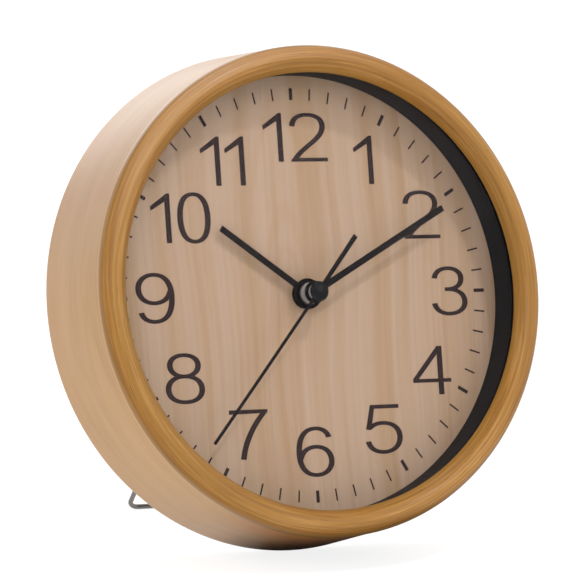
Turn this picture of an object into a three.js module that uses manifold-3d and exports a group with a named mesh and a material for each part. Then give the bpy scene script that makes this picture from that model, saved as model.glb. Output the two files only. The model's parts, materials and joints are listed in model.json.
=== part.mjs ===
// Round desk clock that leans back on a folding wire stand.
// A drafted drum case and a half-round bezel hold a flat lens, a dial and a quartz movement
// with its whole gear train. All sizes are in millimetres.
//
// Clock frame: the origin is the middle of the dial's face, +Y points at 12 o'clock,
// +X at 3 o'clock and +Z out of the dial at the reader. The last lines lean the clock back
// and stand it on Z = 0.

import * as THREE from "three";
import { mergeVertices } from "three/addons/utils/BufferGeometryUtils.js";
import Module from "manifold-3d";

const wasm = await Module();
wasm.setup();

// Driving dimensions: case and front
const CASE_REAR_RADIUS = 77.8;
const CASE_FRONT_RADIUS = 75.5;
const CASE_REAR_Z = -22.0;
const CASE_JOINT_Z = 10.7;
const REAR_EDGE_ROUND = 2.0;
const DRUM_BORE_RADIUS = 72.9;
const DIAL_SEAT_RADIUS = 66.0;
const DIAL_SEAT_THICKNESS = 1.8;
const DRUM_ROOM_RADIUS = 74.4;
const COVER_SEAT_RADIUS = 70.0;
const COVER_SEAT_THICKNESS = 1.6;
const SCREW_BOSS_RADIUS = 3.2;
const SCREW_PILOT_RADIUS = 1.1;
const BEZEL_LIP_RADIUS = 67.0;
const BEZEL_LIP_Z = 13.3;
const BEZEL_WALL_Z = 13.07;
const BEZEL_ROUND = 4.2;
const LENS_RADIUS = 70.6;
const LENS_REBATE_RADIUS = 71.0;
const LENS_THICKNESS = 1.4;
const BEZEL_LIP_THICKNESS = 0.4;
const BEZEL_SKIRT_REAR_Z = 5.0;
const REHAUT_FRONT_Z = 9.5;
const REHAUT_STEP_RADIUS = 69.3;
const REHAUT_TAPER = 0.4;
const DIAL_RADIUS = 70.0;
const DIAL_THICKNESS = 0.4;
const DIAL_SEEN_RADIUS = 67.8;
const PLATE_RADIUS = 72.3;
const PLATE_THICKNESS = 1.5;
const RIM_FACETS = 48;
const DISC_FACETS = 32;
const TUBE_FACETS = 16;
const PIN_FACETS = 8;
const SEAT_GAP = 0.3;

// Driving dimensions: hands. Clock angles run clockwise from 12 and show 10:10:36.
const HOUR_HAND = { angle: 305.9, reach: 35.2, width: 1.95, thickness: 0.5, z: 2.4, eye: 4.75 };
const MINUTE_HAND = { angle: 61.65, reach: 53.4, width: 2, thickness: 0.45, z: 7, eye: 3.5 };
const SECOND_HAND = { angle: 220.3, reach: 59.3, tail: 22.2, thickness: 0.35, z: 9.35 };
const SECOND_BOSS_RADIUS = 2.5;
const SECOND_NEEDLE_WIDTH = 0.95;
const SECOND_TAIL_WIDTHS = [1.3, 1.52];
const SECOND_TIP_DROP = 1.2;
const SECOND_TAIL_DROP = 0.3;
const HOUR_COLLAR = { radius: 3.4, height: 2.4 };
const MINUTE_COLLAR = { radius: 2.5, height: 1.1 };
const CAP = { radius: 3.1, wall: 0.35, rise: 0.75 };

// Driving dimensions: movement
const MOVEMENT_SIDE = 56;
const MOVEMENT_FRONT_Z = -3.4;
const MOVEMENT_REAR_Z = -17.2;
const MOVEMENT_WALL = 1.2;
const COVER_THICKNESS = 0.9;
const BUSH_RADIUS = 3.5;
const BUSH_BORE = 2.58;
const BUSH_FLANGE = 1.4;
const GASKET_RADIUS = 8.5;
const NUT_RADIUS = 4.45;
const NUT_SLOT_HALF = 0.6;
const HOUR_TUBE_RADIUS = 2.5;
const HOUR_TUBE_BORE = 1.68;
const HOUR_TUBE_FRONT_Z = 5.3;
const MINUTE_ARBOR_RADIUS = 1.6;
const MINUTE_ARBOR_BORE = 0.58;
const MINUTE_ARBOR_FRONT_Z = 8.55;
const SECOND_ARBOR_RADIUS = 0.5;
const SECOND_ARBOR_FRONT_Z = 10.2;
const PIVOT_RADIUS = 0.5;
const PIVOT_HOLE = 0.57;
const SETTING_SHAFT_RADIUS = 1.2;
const SETTING_HOLE = 1.28;
const KNOB_RADIUS = 4.3;
const KNOB_VALLEY_RADIUS = 3.95;
const KNOB_HOLLOW_RADIUS = 2.9;
const KNOB_REAR_Z = -19.7;
const KNOB_RIDGES = 18;
const POST_RADIUS = 1.5;
const CELL_RADIUS = 7.15;
const CELL_LENGTH = 49.2;
const CELL_NUB_RADIUS = 2.7;
const CELL_NUB_LENGTH = 1.3;
const CELL_Y = -19.5;
const CELL_Z = -12.2;
const BAY_BOTTOM_Y = -26.8;
const BAY_TOP_Y = -12.2;

// Driving dimensions: back cover and stand
const COVER_RADIUS = 73.1;
const COVER_REAR_Z = -17.5;
const COVER_PLATE = 1.8;
const COVER_WINDOW = 57;
const SCREW_CIRCLE_RADIUS = 68.4;
const SCREW_ANGLES = [45, 135, 225, 315];
const SCREW_HOLE_RADIUS = 1.7;
const SCREW_WELL_RADIUS = 3.1;
const SCREW_LEDGE = 0.9;
const WIRE_RADIUS = 0.85;
const WIRE_TIP_BEND = 2.2;
const WIRE_FOOT_BEND = 4.0;
const STAND_PIVOT_Y = -21.5;
const STAND_PIVOT_Z = -18.7;
const STAND_PIVOT_HALF = 33.0;
const STAND_FOOT_HALF = 25.6;
const STAND_TIP_HALF = 39.0;
const STAND_FOOT_Z = -80.6;
const LUG_INNER_X = 35.4;
const LUG_OUTER_X = 38.6;
const LUG_HOLE = 0.92;
const LUG_ROUND = 1.75;
const LUG_ROOT_HALF = 2.4;
const STOP_HALF_WIDTH = 1.5;
const STOP_LOW_Y = -27.4;
const STOP_HIGH_Y = -23.3;
const STOP_REAR_Z = -19.2;
const LEAN_DEG = 16.0;

// Shape helpers

function radians(degrees) {
  return THREE.MathUtils.degToRad(degrees);
}

function onCircle(centre, direction, distance) {
  return [
    centre[0] + distance * Math.cos(direction),
    centre[1] + distance * Math.sin(direction),
  ];
}

function solidOf(geometry) {
  const bare = geometry.clone();
  bare.deleteAttribute("normal");
  bare.deleteAttribute("uv");
  const merged = mergeVertices(bare, 1e-4);
  const mesh = new wasm.Mesh({
    numProp: 3,
    vertProperties: new Float32Array(merged.attributes.position.array),
    triVerts: new Uint32Array(merged.index.array),
  });
  mesh.merge();
  return new wasm.Manifold(mesh);
}

function geometryOf(solid) {
  const mesh = solid.getMesh();
  const geometry = new THREE.BufferGeometry();
  geometry.setAttribute("position", new THREE.BufferAttribute(mesh.vertProperties, 3));
  geometry.setIndex(new THREE.BufferAttribute(mesh.triVerts, 1));
  const faceted = geometry.toNonIndexed();
  faceted.computeVertexNormals();
  return faceted;
}

function joined(first, ...others) {
  return others.reduce((sum, other) => sum.add(other), first);
}

function cutBy(body, ...tools) {
  return tools.reduce((rest, tool) => rest.subtract(tool), body);
}

// A closed profile of [radius, z] pairs, turned about Z with a flat facet at 6 o'clock.
function revolved(profile, facets = RIM_FACETS) {
  const outline = profile.map(([radius, z]) => new THREE.Vector2(radius, z));
  if (THREE.ShapeUtils.area(outline) < 0) {
    outline.reverse();
  }
  outline.push(outline[0].clone());
  const turned = new THREE.LatheGeometry(outline, facets, Math.PI / facets);
  return solidOf(turned.rotateX(Math.PI / 2));
}

// A short arc of [radius, z] pairs about a centre, from one angle to another.
function arcPoints(centreRadius, centreZ, spanRadius, spanZ, from, to, steps) {
  const points = [];
  for (let step = 0; step <= steps; step += 1) {
    const angle = radians(from + ((to - from) * step) / steps);
    points.push([centreRadius + spanRadius * Math.cos(angle), centreZ + spanZ * Math.sin(angle)]);
  }
  return points;
}

function extruded(shape, lowZ, highZ, curveSegments = 8) {
  const settings = { depth: highZ - lowZ, bevelEnabled: false, curveSegments };
  return solidOf(new THREE.ExtrudeGeometry(shape, settings).translate(0, 0, lowZ));
}

function rod(radius, lowZ, highZ, sides = 16, x = 0, y = 0) {
  const rounded = new THREE.CylinderGeometry(radius, radius, highZ - lowZ, sides);
  return solidOf(rounded.rotateX(Math.PI / 2).translate(x, y, (lowZ + highZ) / 2));
}

function rodAlongX(radius, lowX, highX, y, z, sides = 16) {
  const rounded = new THREE.CylinderGeometry(radius, radius, highX - lowX, sides);
  return solidOf(rounded.rotateZ(Math.PI / 2).translate((lowX + highX) / 2, y, z));
}

function block(lowX, highX, lowY, highY, lowZ, highZ) {
  const box = new THREE.BoxGeometry(highX - lowX, highY - lowY, highZ - lowZ);
  return solidOf(box.translate((lowX + highX) / 2, (lowY + highY) / 2, (lowZ + highZ) / 2));
}

function roundedRectangle(lowX, highX, lowY, highY, corner) {
  const shape = new THREE.Shape();
  shape.moveTo(lowX + corner, lowY);
  shape.lineTo(highX - corner, lowY);
  shape.absarc(highX - corner, lowY + corner, corner, -Math.PI / 2, 0, false);
  shape.lineTo(highX, highY - corner);
  shape.absarc(highX - corner, highY - corner, corner, 0, Math.PI / 2, false);
  shape.lineTo(lowX + corner, highY);
  shape.absarc(lowX + corner, highY - corner, corner, Math.PI / 2, Math.PI, false);
  shape.lineTo(lowX, lowY + corner);
  shape.absarc(lowX + corner, lowY + corner, corner, Math.PI, 1.5 * Math.PI, false);
  return shape;
}

// Materials

const MATERIALS = {
  maple: new THREE.MeshStandardMaterial({ color: 0xc9a883, roughness: 0.45 }),
  oak: new THREE.MeshStandardMaterial({ color: 0xb4834d, roughness: 0.4 }),
  dialWood: new THREE.MeshStandardMaterial({ color: 0xc8aa87, roughness: 0.7 }),
  black: new THREE.MeshStandardMaterial({ color: 0x1f1e20, roughness: 0.45 }),
  glass: new THREE.MeshStandardMaterial({
    color: 0xffffff,
    roughness: 0.05,
    transparent: true,
    opacity: 0.15,
  }),
  board: new THREE.MeshStandardMaterial({ color: 0x6e5a45, roughness: 0.85 }),
  whitePlastic: new THREE.MeshStandardMaterial({ color: 0xdedbd2, roughness: 0.5 }),
  gearPlastic: new THREE.MeshStandardMaterial({ color: 0xe6e2d4, roughness: 0.45 }),
  steel: new THREE.MeshStandardMaterial({ color: 0xb9bbbd, roughness: 0.3, metalness: 1 }),
  brass: new THREE.MeshStandardMaterial({ color: 0xc0a062, roughness: 0.35, metalness: 1 }),
  copper: new THREE.MeshStandardMaterial({ color: 0xb4683a, roughness: 0.4, metalness: 1 }),
  rubber: new THREE.MeshStandardMaterial({ color: 0x2a2a2a, roughness: 0.9 }),
  circuit: new THREE.MeshStandardMaterial({ color: 0x2f5c3a, roughness: 0.6 }),
  cellJacket: new THREE.MeshStandardMaterial({ color: 0x3d6f86, roughness: 0.35 }),
};

const clock = new THREE.Group();

function place(name, solid, material, position = [0, 0, 0], turn = 0) {
  const mesh = new THREE.Mesh(geometryOf(solid), MATERIALS[material]);
  mesh.name = name;
  mesh.position.set(...position);
  mesh.rotation.z = turn;
  clock.add(mesh);
  return mesh;
}

// Case: drum, bezel, lens, rehaut ring, dial and dial plate

function coverScrewPlaces() {
  return SCREW_ANGLES.map((angle) => onCircle([0, 0], radians(angle), SCREW_CIRCLE_RADIUS));
}

function caseDrum() {
  const dialSeatZ = -DIAL_THICKNESS - PLATE_THICKNESS - 2 * SEAT_GAP;
  const coverSeatZ = COVER_REAR_Z + COVER_PLATE + SEAT_GAP;
  const roundCentreZ = CASE_REAR_Z + REAR_EDGE_ROUND;
  const roundCentreRadius = CASE_REAR_RADIUS - REAR_EDGE_ROUND;
  let drum = revolved([
    [COVER_RADIUS + SEAT_GAP, CASE_REAR_Z],
    ...arcPoints(roundCentreRadius, roundCentreZ, REAR_EDGE_ROUND, REAR_EDGE_ROUND, -90, 0, 3),
    [CASE_FRONT_RADIUS, CASE_JOINT_Z - SEAT_GAP],
    [DRUM_BORE_RADIUS, CASE_JOINT_Z - SEAT_GAP],
    [DRUM_BORE_RADIUS, dialSeatZ],
    [DIAL_SEAT_RADIUS, dialSeatZ],
    [DIAL_SEAT_RADIUS, dialSeatZ - DIAL_SEAT_THICKNESS],
    [DRUM_ROOM_RADIUS, dialSeatZ - DIAL_SEAT_THICKNESS],
    [DRUM_ROOM_RADIUS, coverSeatZ + COVER_SEAT_THICKNESS],
    [COVER_SEAT_RADIUS, coverSeatZ + COVER_SEAT_THICKNESS],
    [COVER_SEAT_RADIUS, coverSeatZ],
    [COVER_RADIUS + SEAT_GAP, coverSeatZ],
  ]);
  for (const [x, y] of coverScrewPlaces()) {
    const bossFrontZ = dialSeatZ - DIAL_SEAT_THICKNESS / 2;
    const boss = rod(SCREW_BOSS_RADIUS, coverSeatZ, bossFrontZ, 10, x, y);
    const pilot = rod(SCREW_PILOT_RADIUS, coverSeatZ - 1, coverSeatZ + 7, PIN_FACETS, x, y);
    drum = cutBy(joined(drum, boss), pilot);
  }
  place("case_drum", drum, "maple");
}

// The bezel's inner face falls from the crest to the lip, steeper and steeper.
function bezelInnerFace(crestRadius, crestZ) {
  return [0.4, 0.7, 1].map((share) => [
    crestRadius - share * (crestRadius - BEZEL_LIP_RADIUS),
    crestZ - share ** 2 * (crestZ - BEZEL_LIP_Z),
  ]);
}

function frontBezel() {
  const crestRadius = CASE_FRONT_RADIUS - BEZEL_ROUND;
  const lipUnderZ = BEZEL_LIP_Z - BEZEL_LIP_THICKNESS;
  const ring = revolved([
    [CASE_FRONT_RADIUS, CASE_JOINT_Z],
    ...arcPoints(crestRadius, BEZEL_WALL_Z, BEZEL_ROUND, BEZEL_ROUND, 0, 90, 4),
    ...bezelInnerFace(crestRadius, BEZEL_WALL_Z + BEZEL_ROUND),
    [BEZEL_LIP_RADIUS, lipUnderZ],
    [LENS_REBATE_RADIUS, lipUnderZ],
    [LENS_REBATE_RADIUS, BEZEL_SKIRT_REAR_Z],
    [DRUM_BORE_RADIUS - SEAT_GAP, BEZEL_SKIRT_REAR_Z],
    [DRUM_BORE_RADIUS - SEAT_GAP, CASE_JOINT_Z],
  ]);
  place("front_bezel", ring, "oak");
}

function lensAndRehaut() {
  const lensFrontZ = BEZEL_LIP_Z - BEZEL_LIP_THICKNESS - SEAT_GAP;
  const lensRearZ = lensFrontZ - LENS_THICKNESS;
  place("lens", rod(LENS_RADIUS, lensRearZ, lensFrontZ, DISC_FACETS), "glass");
  const wall = revolved([
    [DIAL_SEEN_RADIUS, SEAT_GAP],
    [LENS_RADIUS, SEAT_GAP],
    [LENS_RADIUS, lensRearZ - SEAT_GAP],
    [REHAUT_STEP_RADIUS, lensRearZ - SEAT_GAP],
    [REHAUT_STEP_RADIUS, REHAUT_FRONT_Z],
    [DIAL_SEEN_RADIUS + REHAUT_TAPER, REHAUT_FRONT_Z],
  ]);
  place("rehaut_ring", wall, "black");
}

function dialAndPlate() {
  const bushHole = rod(BUSH_RADIUS + SEAT_GAP, -5, 1, TUBE_FACETS);
  place("dial", cutBy(rod(DIAL_RADIUS, -DIAL_THICKNESS, 0, DISC_FACETS), bushHole), "dialWood");
  const plateFrontZ = -DIAL_THICKNESS - SEAT_GAP;
  const plate = rod(PLATE_RADIUS, plateFrontZ - PLATE_THICKNESS, plateFrontZ, DISC_FACETS);
  place("dial_plate", cutBy(plate, bushHole), "board");
}

// Movement mounting: gasket, threaded bush and nut

function bushAndNut() {
  const plateRearZ = -DIAL_THICKNESS - 2 * SEAT_GAP - PLATE_THICKNESS;
  const gasketHole = rod(BUSH_RADIUS + SEAT_GAP, -5, 0, TUBE_FACETS);
  const gasket = rod(GASKET_RADIUS, MOVEMENT_FRONT_Z + 0.25, plateRearZ + 0.05, TUBE_FACETS);
  place("rubber_gasket", cutBy(gasket, gasketHole), "rubber");
  const floorZ = MOVEMENT_FRONT_Z - MOVEMENT_WALL;
  const bush = joined(
    rod(BUSH_RADIUS, floorZ - 0.1, 1.3, TUBE_FACETS),
    rod(BUSH_RADIUS + BUSH_FLANGE, floorZ - 0.35, floorZ - 0.05, TUBE_FACETS),
  );
  place("threaded_bush", cutBy(bush, rod(BUSH_BORE, -6, 2, TUBE_FACETS)), "brass");
  const nutHole = rod(BUSH_RADIUS + 0.1, 0, 2, TUBE_FACETS);
  const slots = block(-5, 5, -NUT_SLOT_HALF, NUT_SLOT_HALF, 0.9, 2);
  place("bush_nut", cutBy(rod(NUT_RADIUS, 0.25, 1.5, 16), nutHole, slots), "black");
}

// Hands

// A hand's bar with a round end on its arbor, drawn pointing at 12.
function handShape(width, reach, eye) {
  const half = width / 2;
  const meet = Math.asin(half / eye);
  const shape = new THREE.Shape();
  shape.moveTo(half, reach);
  shape.lineTo(-half, reach);
  shape.lineTo(-half, eye * Math.cos(meet));
  shape.absarc(0, 0, eye, Math.PI / 2 + meet, 2.5 * Math.PI - meet, false);
  return shape;
}

function hourHand() {
  const { angle, reach, width, thickness, z, eye } = HOUR_HAND;
  const turn = -radians(angle);
  const flat = extruded(handShape(width, reach, eye), 0, thickness, 14);
  const skirt = rod(eye - 0.25, -0.5, 0.1, 20);
  const hole = rod(HOUR_TUBE_RADIUS + 0.06, -1, 1, TUBE_FACETS);
  place("hour_hand", cutBy(joined(flat, skirt), hole), "black", [0, 0, z], turn);
  const collarHole = rod(HOUR_TUBE_RADIUS + 0.06, -1, 3, TUBE_FACETS);
  const collarLow = z + thickness + 0.02;
  const collar = cutBy(rod(HOUR_COLLAR.radius, 0, HOUR_COLLAR.height, TUBE_FACETS), collarHole);
  place("hour_collar", collar, "steel", [0, 0, collarLow], turn);
}

function minuteHand() {
  const { angle, reach, width, thickness, z, eye } = MINUTE_HAND;
  const flat = extruded(handShape(width, reach, eye), 0, thickness, 16);
  const hole = rod(MINUTE_ARBOR_RADIUS + 0.06, -1, 2, TUBE_FACETS);
  const skirt = rod(eye - 0.5, -0.5, 0.1, 16);
  const turn = -radians(angle);
  place("minute_hand", cutBy(joined(flat, skirt), hole), "black", [0, 0, z], turn);
  const collarLow = z + thickness + 0.02;
  const collar = cutBy(rod(MINUTE_COLLAR.radius, 0, MINUTE_COLLAR.height, TUBE_FACETS), hole);
  place("minute_collar", collar, "steel", [0, 0, collarLow], turn);
}

// A thin hand whose ends bow towards the dial.
function bowedHand(shape, thickness, dropAt) {
  const flat = new THREE.ExtrudeGeometry(shape, {
    depth: thickness,
    bevelEnabled: false,
    curveSegments: 8,
  });
  const points = flat.attributes.position;
  for (let i = 0; i < points.count; i += 1) {
    points.setZ(i, points.getZ(i) - dropAt(points.getY(i)));
  }
  return solidOf(flat);
}

function secondHand() {
  const { angle, reach, tail, thickness, z } = SECOND_HAND;
  const turn = -radians(angle);
  const half = SECOND_NEEDLE_WIDTH / 2;
  const [rootHalf, endHalf] = SECOND_TAIL_WIDTHS.map((width) => width / 2);
  const stations = [1, 0.75, 0.5, 0.25].map((share) => share * reach);
  const shape = new THREE.Shape();
  shape.moveTo(half, reach);
  stations.forEach((y) => shape.lineTo(-half, y));
  shape.absarc(0, 0, SECOND_BOSS_RADIUS, Math.PI / 2 + 0.19, 1.5 * Math.PI - 0.26, false);
  shape.lineTo(-(rootHalf + endHalf) / 2, -tail / 2);
  shape.lineTo(-endHalf, -tail);
  shape.lineTo(endHalf, -tail);
  shape.lineTo((rootHalf + endHalf) / 2, -tail / 2);
  shape.absarc(0, 0, SECOND_BOSS_RADIUS, -Math.PI / 2 + 0.26, Math.PI / 2 - 0.19, false);
  stations.slice(1).reverse().forEach((y) => shape.lineTo(half, y));
  const dropAt = (y) =>
    y > 0 ? SECOND_TIP_DROP * (y / reach) ** 2 : SECOND_TAIL_DROP * (y / tail) ** 2;
  const hole = rod(SECOND_ARBOR_RADIUS + 0.06, -1, 1, PIN_FACETS);
  const hand = cutBy(bowedHand(shape, thickness, dropAt), hole);
  place("second_hand", hand, "black", [0, 0, z], turn);
  const capLow = z + thickness + 0.05;
  const cap = revolved(
    [
      [0, 0],
      [CAP.radius, 0],
      [CAP.radius, CAP.wall],
      ...arcPoints(0, CAP.wall, CAP.radius, CAP.rise, 18, 72, 3),
      [0, CAP.wall + CAP.rise],
    ],
    16,
  );
  const socket = rod(SECOND_ARBOR_RADIUS + 0.06, -1, 0.6, PIN_FACETS);
  place("second_cap", cutBy(cap, socket), "black", [0, 0, capLow], turn);
}

// Gear train

// Tooth form of a moulded watch gear: straight flanks, ample backlash and clearance.
const ADDENDUM = 0.92;
const DEDENDUM = 1.25;
const WHEEL_TOOTH = { root: 0.29, tip: 0.12 };
const LEAF_TOOTH = { root: 0.2, tip: 0.1 };
const MOST_LEAVES = 12;

function gearShape(teeth, gearModule) {
  const pitchRadius = (teeth * gearModule) / 2;
  const rootRadius = pitchRadius - DEDENDUM * gearModule;
  const tipRadius = pitchRadius + ADDENDUM * gearModule;
  const form = teeth <= MOST_LEAVES ? LEAF_TOOTH : WHEEL_TOOTH;
  const pitch = (2 * Math.PI) / teeth;
  const outline = [];
  for (let tooth = 0; tooth < teeth; tooth += 1) {
    const middle = tooth * pitch;
    const corners = [
      [rootRadius, -form.root],
      [tipRadius, -form.tip],
      [tipRadius, form.tip],
      [rootRadius, form.root],
    ];
    for (const [radius, share] of corners) {
      const angle = middle + share * pitch;
      outline.push(new THREE.Vector2(radius * Math.cos(angle), radius * Math.sin(angle)));
    }
  }
  return new THREE.Shape(outline);
}

function gear(teeth, gearModule, phase, rearZ, frontZ) {
  return extruded(gearShape(teeth, gearModule), rearZ, frontZ).rotate([
    0,
    0,
    THREE.MathUtils.radToDeg(phase),
  ]);
}

// The phase that puts a gap of the driven gear where the driver's tooth comes in.
function meshedPhase(driverTeeth, driverPhase, drivenTeeth, direction) {
  const driverShare = ((direction - driverPhase) * driverTeeth) / (2 * Math.PI);
  return direction + Math.PI - ((0.5 - driverShare) * 2 * Math.PI) / drivenTeeth;
}

// Each pair is named for its wheel and the pinion that it turns, or that turns it.
function centreDistance({ wheel, pinion, module }) {
  return ((wheel + pinion) * module) / 2;
}

// A second pair on the same two axes as the first, with the module that closes the distance.
function pairOnAxesOf(first, wheel, pinion) {
  return { wheel, pinion, module: (2 * centreDistance(first)) / (wheel + pinion) };
}

const CENTRE_PAIR = { wheel: 48, pinion: 6, module: 0.33 };
const THIRD_PAIR = pairOnAxesOf(CENTRE_PAIR, 45, 6);
const SECOND_PAIR = { wheel: 36, pinion: 6, module: 0.43 };
const INTERMEDIATE_PAIR = { wheel: 30, pinion: 6, module: 0.4 };
const MINUTE_PAIR = { wheel: 30, pinion: 10, module: 0.432 };
const HOUR_PAIR = pairOnAxesOf(MINUTE_PAIR, 32, 8);

// Directions between the axes of the train, and the axes that they give
const THIRD_DIRECTION = radians(150);
const INTERMEDIATE_DIRECTION = radians(60);
const ROTOR_DIRECTION = radians(30);
const MINUTE_DIRECTION = radians(8);
const SETTING_DIRECTION = radians(20);
const MAIN_AXIS = [0, 0];
const THIRD_AXIS = onCircle(MAIN_AXIS, THIRD_DIRECTION, centreDistance(CENTRE_PAIR));
const INTERMEDIATE_AXIS = onCircle(MAIN_AXIS, INTERMEDIATE_DIRECTION, centreDistance(SECOND_PAIR));
const ROTOR_AXIS = onCircle(INTERMEDIATE_AXIS, ROTOR_DIRECTION, centreDistance(INTERMEDIATE_PAIR));
const MINUTE_AXIS = onCircle(MAIN_AXIS, MINUTE_DIRECTION, centreDistance(MINUTE_PAIR));
const SETTING_AXIS = onCircle(MINUTE_AXIS, SETTING_DIRECTION, centreDistance(MINUTE_PAIR));

// Planes of the train, from the front of the movement to its rear: [rear z, front z]
const HOUR_WHEEL_Z = [-5.9, -5.1];
const MINUTE_PINION_Z = [-6.0, -5.0];
const MINUTE_WHEEL_Z = [-6.95, -6.25];
const CANNON_Z = [-7.0, -6.2];
const TRAIN_PLATE_Z = [-8.3, -7.3];
const CENTRE_WHEEL_Z = [-9.4, -8.7];
const THIRD_PINION_Z = [-9.5, -8.6];
const THIRD_WHEEL_Z = [-10.6, -9.9];
const SECOND_PINION_Z = [-10.7, -9.8];
const SECOND_WHEEL_Z = [-11.8, -11.1];
const INTERMEDIATE_PINION_Z = [-11.9, -11.0];
const INTERMEDIATE_WHEEL_Z = [-12.9, -12.2];
const ROTOR_PINION_Z = [-13.0, -12.1];
const ROTOR_MAGNET_Z = [-11.6, -9.4];
const STATOR_Z = [-10.9, -10.1];
const ARBOR_REAR_Z = -15.4;
const REAR_BOSS_Z = -14.6;

function hourWheel() {
  const { wheel, pinion, module } = HOUR_PAIR;
  const phase = meshedPhase(pinion, 0, wheel, MINUTE_DIRECTION + Math.PI);
  const disc = gear(wheel, module, phase, ...HOUR_WHEEL_Z);
  const tube = rod(HOUR_TUBE_RADIUS, HOUR_WHEEL_Z[0], HOUR_TUBE_FRONT_Z, TUBE_FACETS);
  const bore = rod(HOUR_TUBE_BORE, -7, 6, TUBE_FACETS);
  place("hour_wheel", cutBy(joined(disc, tube), bore), "gearPlastic");
}

function minuteArbor() {
  const { wheel, pinion, module } = MINUTE_PAIR;
  const phase = meshedPhase(wheel, 0, pinion, MINUTE_DIRECTION + Math.PI);
  const leaves = gear(pinion, module, phase, ...CANNON_Z);
  const tubeRear = CENTRE_WHEEL_Z[0] - 0.1;
  const tube = rod(MINUTE_ARBOR_RADIUS, tubeRear, MINUTE_ARBOR_FRONT_Z, TUBE_FACETS);
  const bore = rod(MINUTE_ARBOR_BORE, -10, 9, PIN_FACETS);
  place("minute_arbor", cutBy(joined(leaves, tube), bore), "gearPlastic");
}

function minuteWheel() {
  const wheel = gear(MINUTE_PAIR.wheel, MINUTE_PAIR.module, 0, ...MINUTE_WHEEL_Z);
  const pinion = gear(HOUR_PAIR.pinion, HOUR_PAIR.module, 0, ...MINUTE_PINION_Z);
  const hub = rod(1.1, MINUTE_WHEEL_Z[0], MINUTE_PINION_Z[1], PIN_FACETS);
  const pivots = rod(PIVOT_RADIUS, TRAIN_PLATE_Z[0], MOVEMENT_FRONT_Z - 0.5, PIN_FACETS);
  place("minute_wheel", joined(wheel, pinion, hub, pivots), "gearPlastic", [...MINUTE_AXIS, 0]);
}

function settingKnob() {
  const { wheel, pinion, module } = MINUTE_PAIR;
  const phase = meshedPhase(wheel, 0, pinion, SETTING_DIRECTION);
  const leaves = gear(pinion, module, phase, ...CANNON_Z);
  const shaft = rod(SETTING_SHAFT_RADIUS, COVER_REAR_Z - 0.4, CANNON_Z[1], 12);
  const grip = new THREE.Shape();
  for (let ridge = 0; ridge < KNOB_RIDGES; ridge += 1) {
    const corners = [
      [-0.28, KNOB_RADIUS],
      [0.28, KNOB_RADIUS],
      [0.5, KNOB_VALLEY_RADIUS],
    ];
    for (const [share, radius] of corners) {
      const angle = ((ridge + share) * 2 * Math.PI) / KNOB_RIDGES;
      const point = [radius * Math.cos(angle), radius * Math.sin(angle)];
      if (ridge === 0 && share < 0) {
        grip.moveTo(...point);
      } else {
        grip.lineTo(...point);
      }
    }
  }
  const knob = extruded(grip, KNOB_REAR_Z, MOVEMENT_REAR_Z - SEAT_GAP);
  const hollow = rod(KNOB_HOLLOW_RADIUS, KNOB_REAR_Z - 1, KNOB_REAR_Z + 0.7, 18);
  const armHalf = KNOB_HOLLOW_RADIUS;
  const arm = block(-armHalf, armHalf, -0.5, 0.5, KNOB_REAR_Z + 0.2, KNOB_REAR_Z + 0.8);
  const body = joined(cutBy(knob, hollow), arm, shaft, leaves);
  place("setting_knob", body, "whitePlastic", [...SETTING_AXIS, 0]);
}

function centreWheel() {
  const { wheel, pinion, module } = CENTRE_PAIR;
  const phase = meshedPhase(pinion, 0, wheel, THIRD_DIRECTION + Math.PI);
  const disc = gear(wheel, module, phase, ...CENTRE_WHEEL_Z);
  const collar = rod(2.6, CENTRE_WHEEL_Z[0] - 0.05, CENTRE_WHEEL_Z[1] + 0.2, 16);
  const bore = rod(MINUTE_ARBOR_RADIUS + 0.06, -11, -8, TUBE_FACETS);
  place("centre_wheel", cutBy(joined(disc, collar), bore), "brass");
}

function thirdWheel() {
  const pinion = gear(CENTRE_PAIR.pinion, CENTRE_PAIR.module, 0, ...THIRD_PINION_Z);
  const wheel = gear(THIRD_PAIR.wheel, THIRD_PAIR.module, 0, ...THIRD_WHEEL_Z);
  const arbor = rod(PIVOT_RADIUS, ARBOR_REAR_Z, TRAIN_PLATE_Z[1] - 0.2, PIN_FACETS);
  place("third_wheel", joined(wheel, pinion, arbor), "gearPlastic", [...THIRD_AXIS, 0]);
}

function secondWheel() {
  const pinionPhase = meshedPhase(
    THIRD_PAIR.wheel,
    0,
    THIRD_PAIR.pinion,
    THIRD_DIRECTION + Math.PI,
  );
  const pinion = gear(THIRD_PAIR.pinion, THIRD_PAIR.module, pinionPhase, ...SECOND_PINION_Z);
  const wheel = gear(SECOND_PAIR.wheel, SECOND_PAIR.module, 0, ...SECOND_WHEEL_Z);
  const arbor = rod(SECOND_ARBOR_RADIUS, ARBOR_REAR_Z, SECOND_ARBOR_FRONT_Z, PIN_FACETS);
  place("second_wheel", joined(wheel, pinion, arbor), "gearPlastic");
}

function intermediateWheel() {
  const pinionPhase = meshedPhase(
    SECOND_PAIR.wheel,
    0,
    SECOND_PAIR.pinion,
    INTERMEDIATE_DIRECTION,
  );
  const pinion = gear(SECOND_PAIR.pinion, SECOND_PAIR.module, pinionPhase, ...INTERMEDIATE_PINION_Z);
  const { wheel, module } = INTERMEDIATE_PAIR;
  const disc = gear(wheel, module, 0, ...INTERMEDIATE_WHEEL_Z);
  const arbor = rod(PIVOT_RADIUS, ARBOR_REAR_Z, TRAIN_PLATE_Z[1] - 0.2, PIN_FACETS);
  const solid = joined(disc, pinion, arbor);
  place("intermediate_wheel", solid, "gearPlastic", [...INTERMEDIATE_AXIS, 0]);
}

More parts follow.
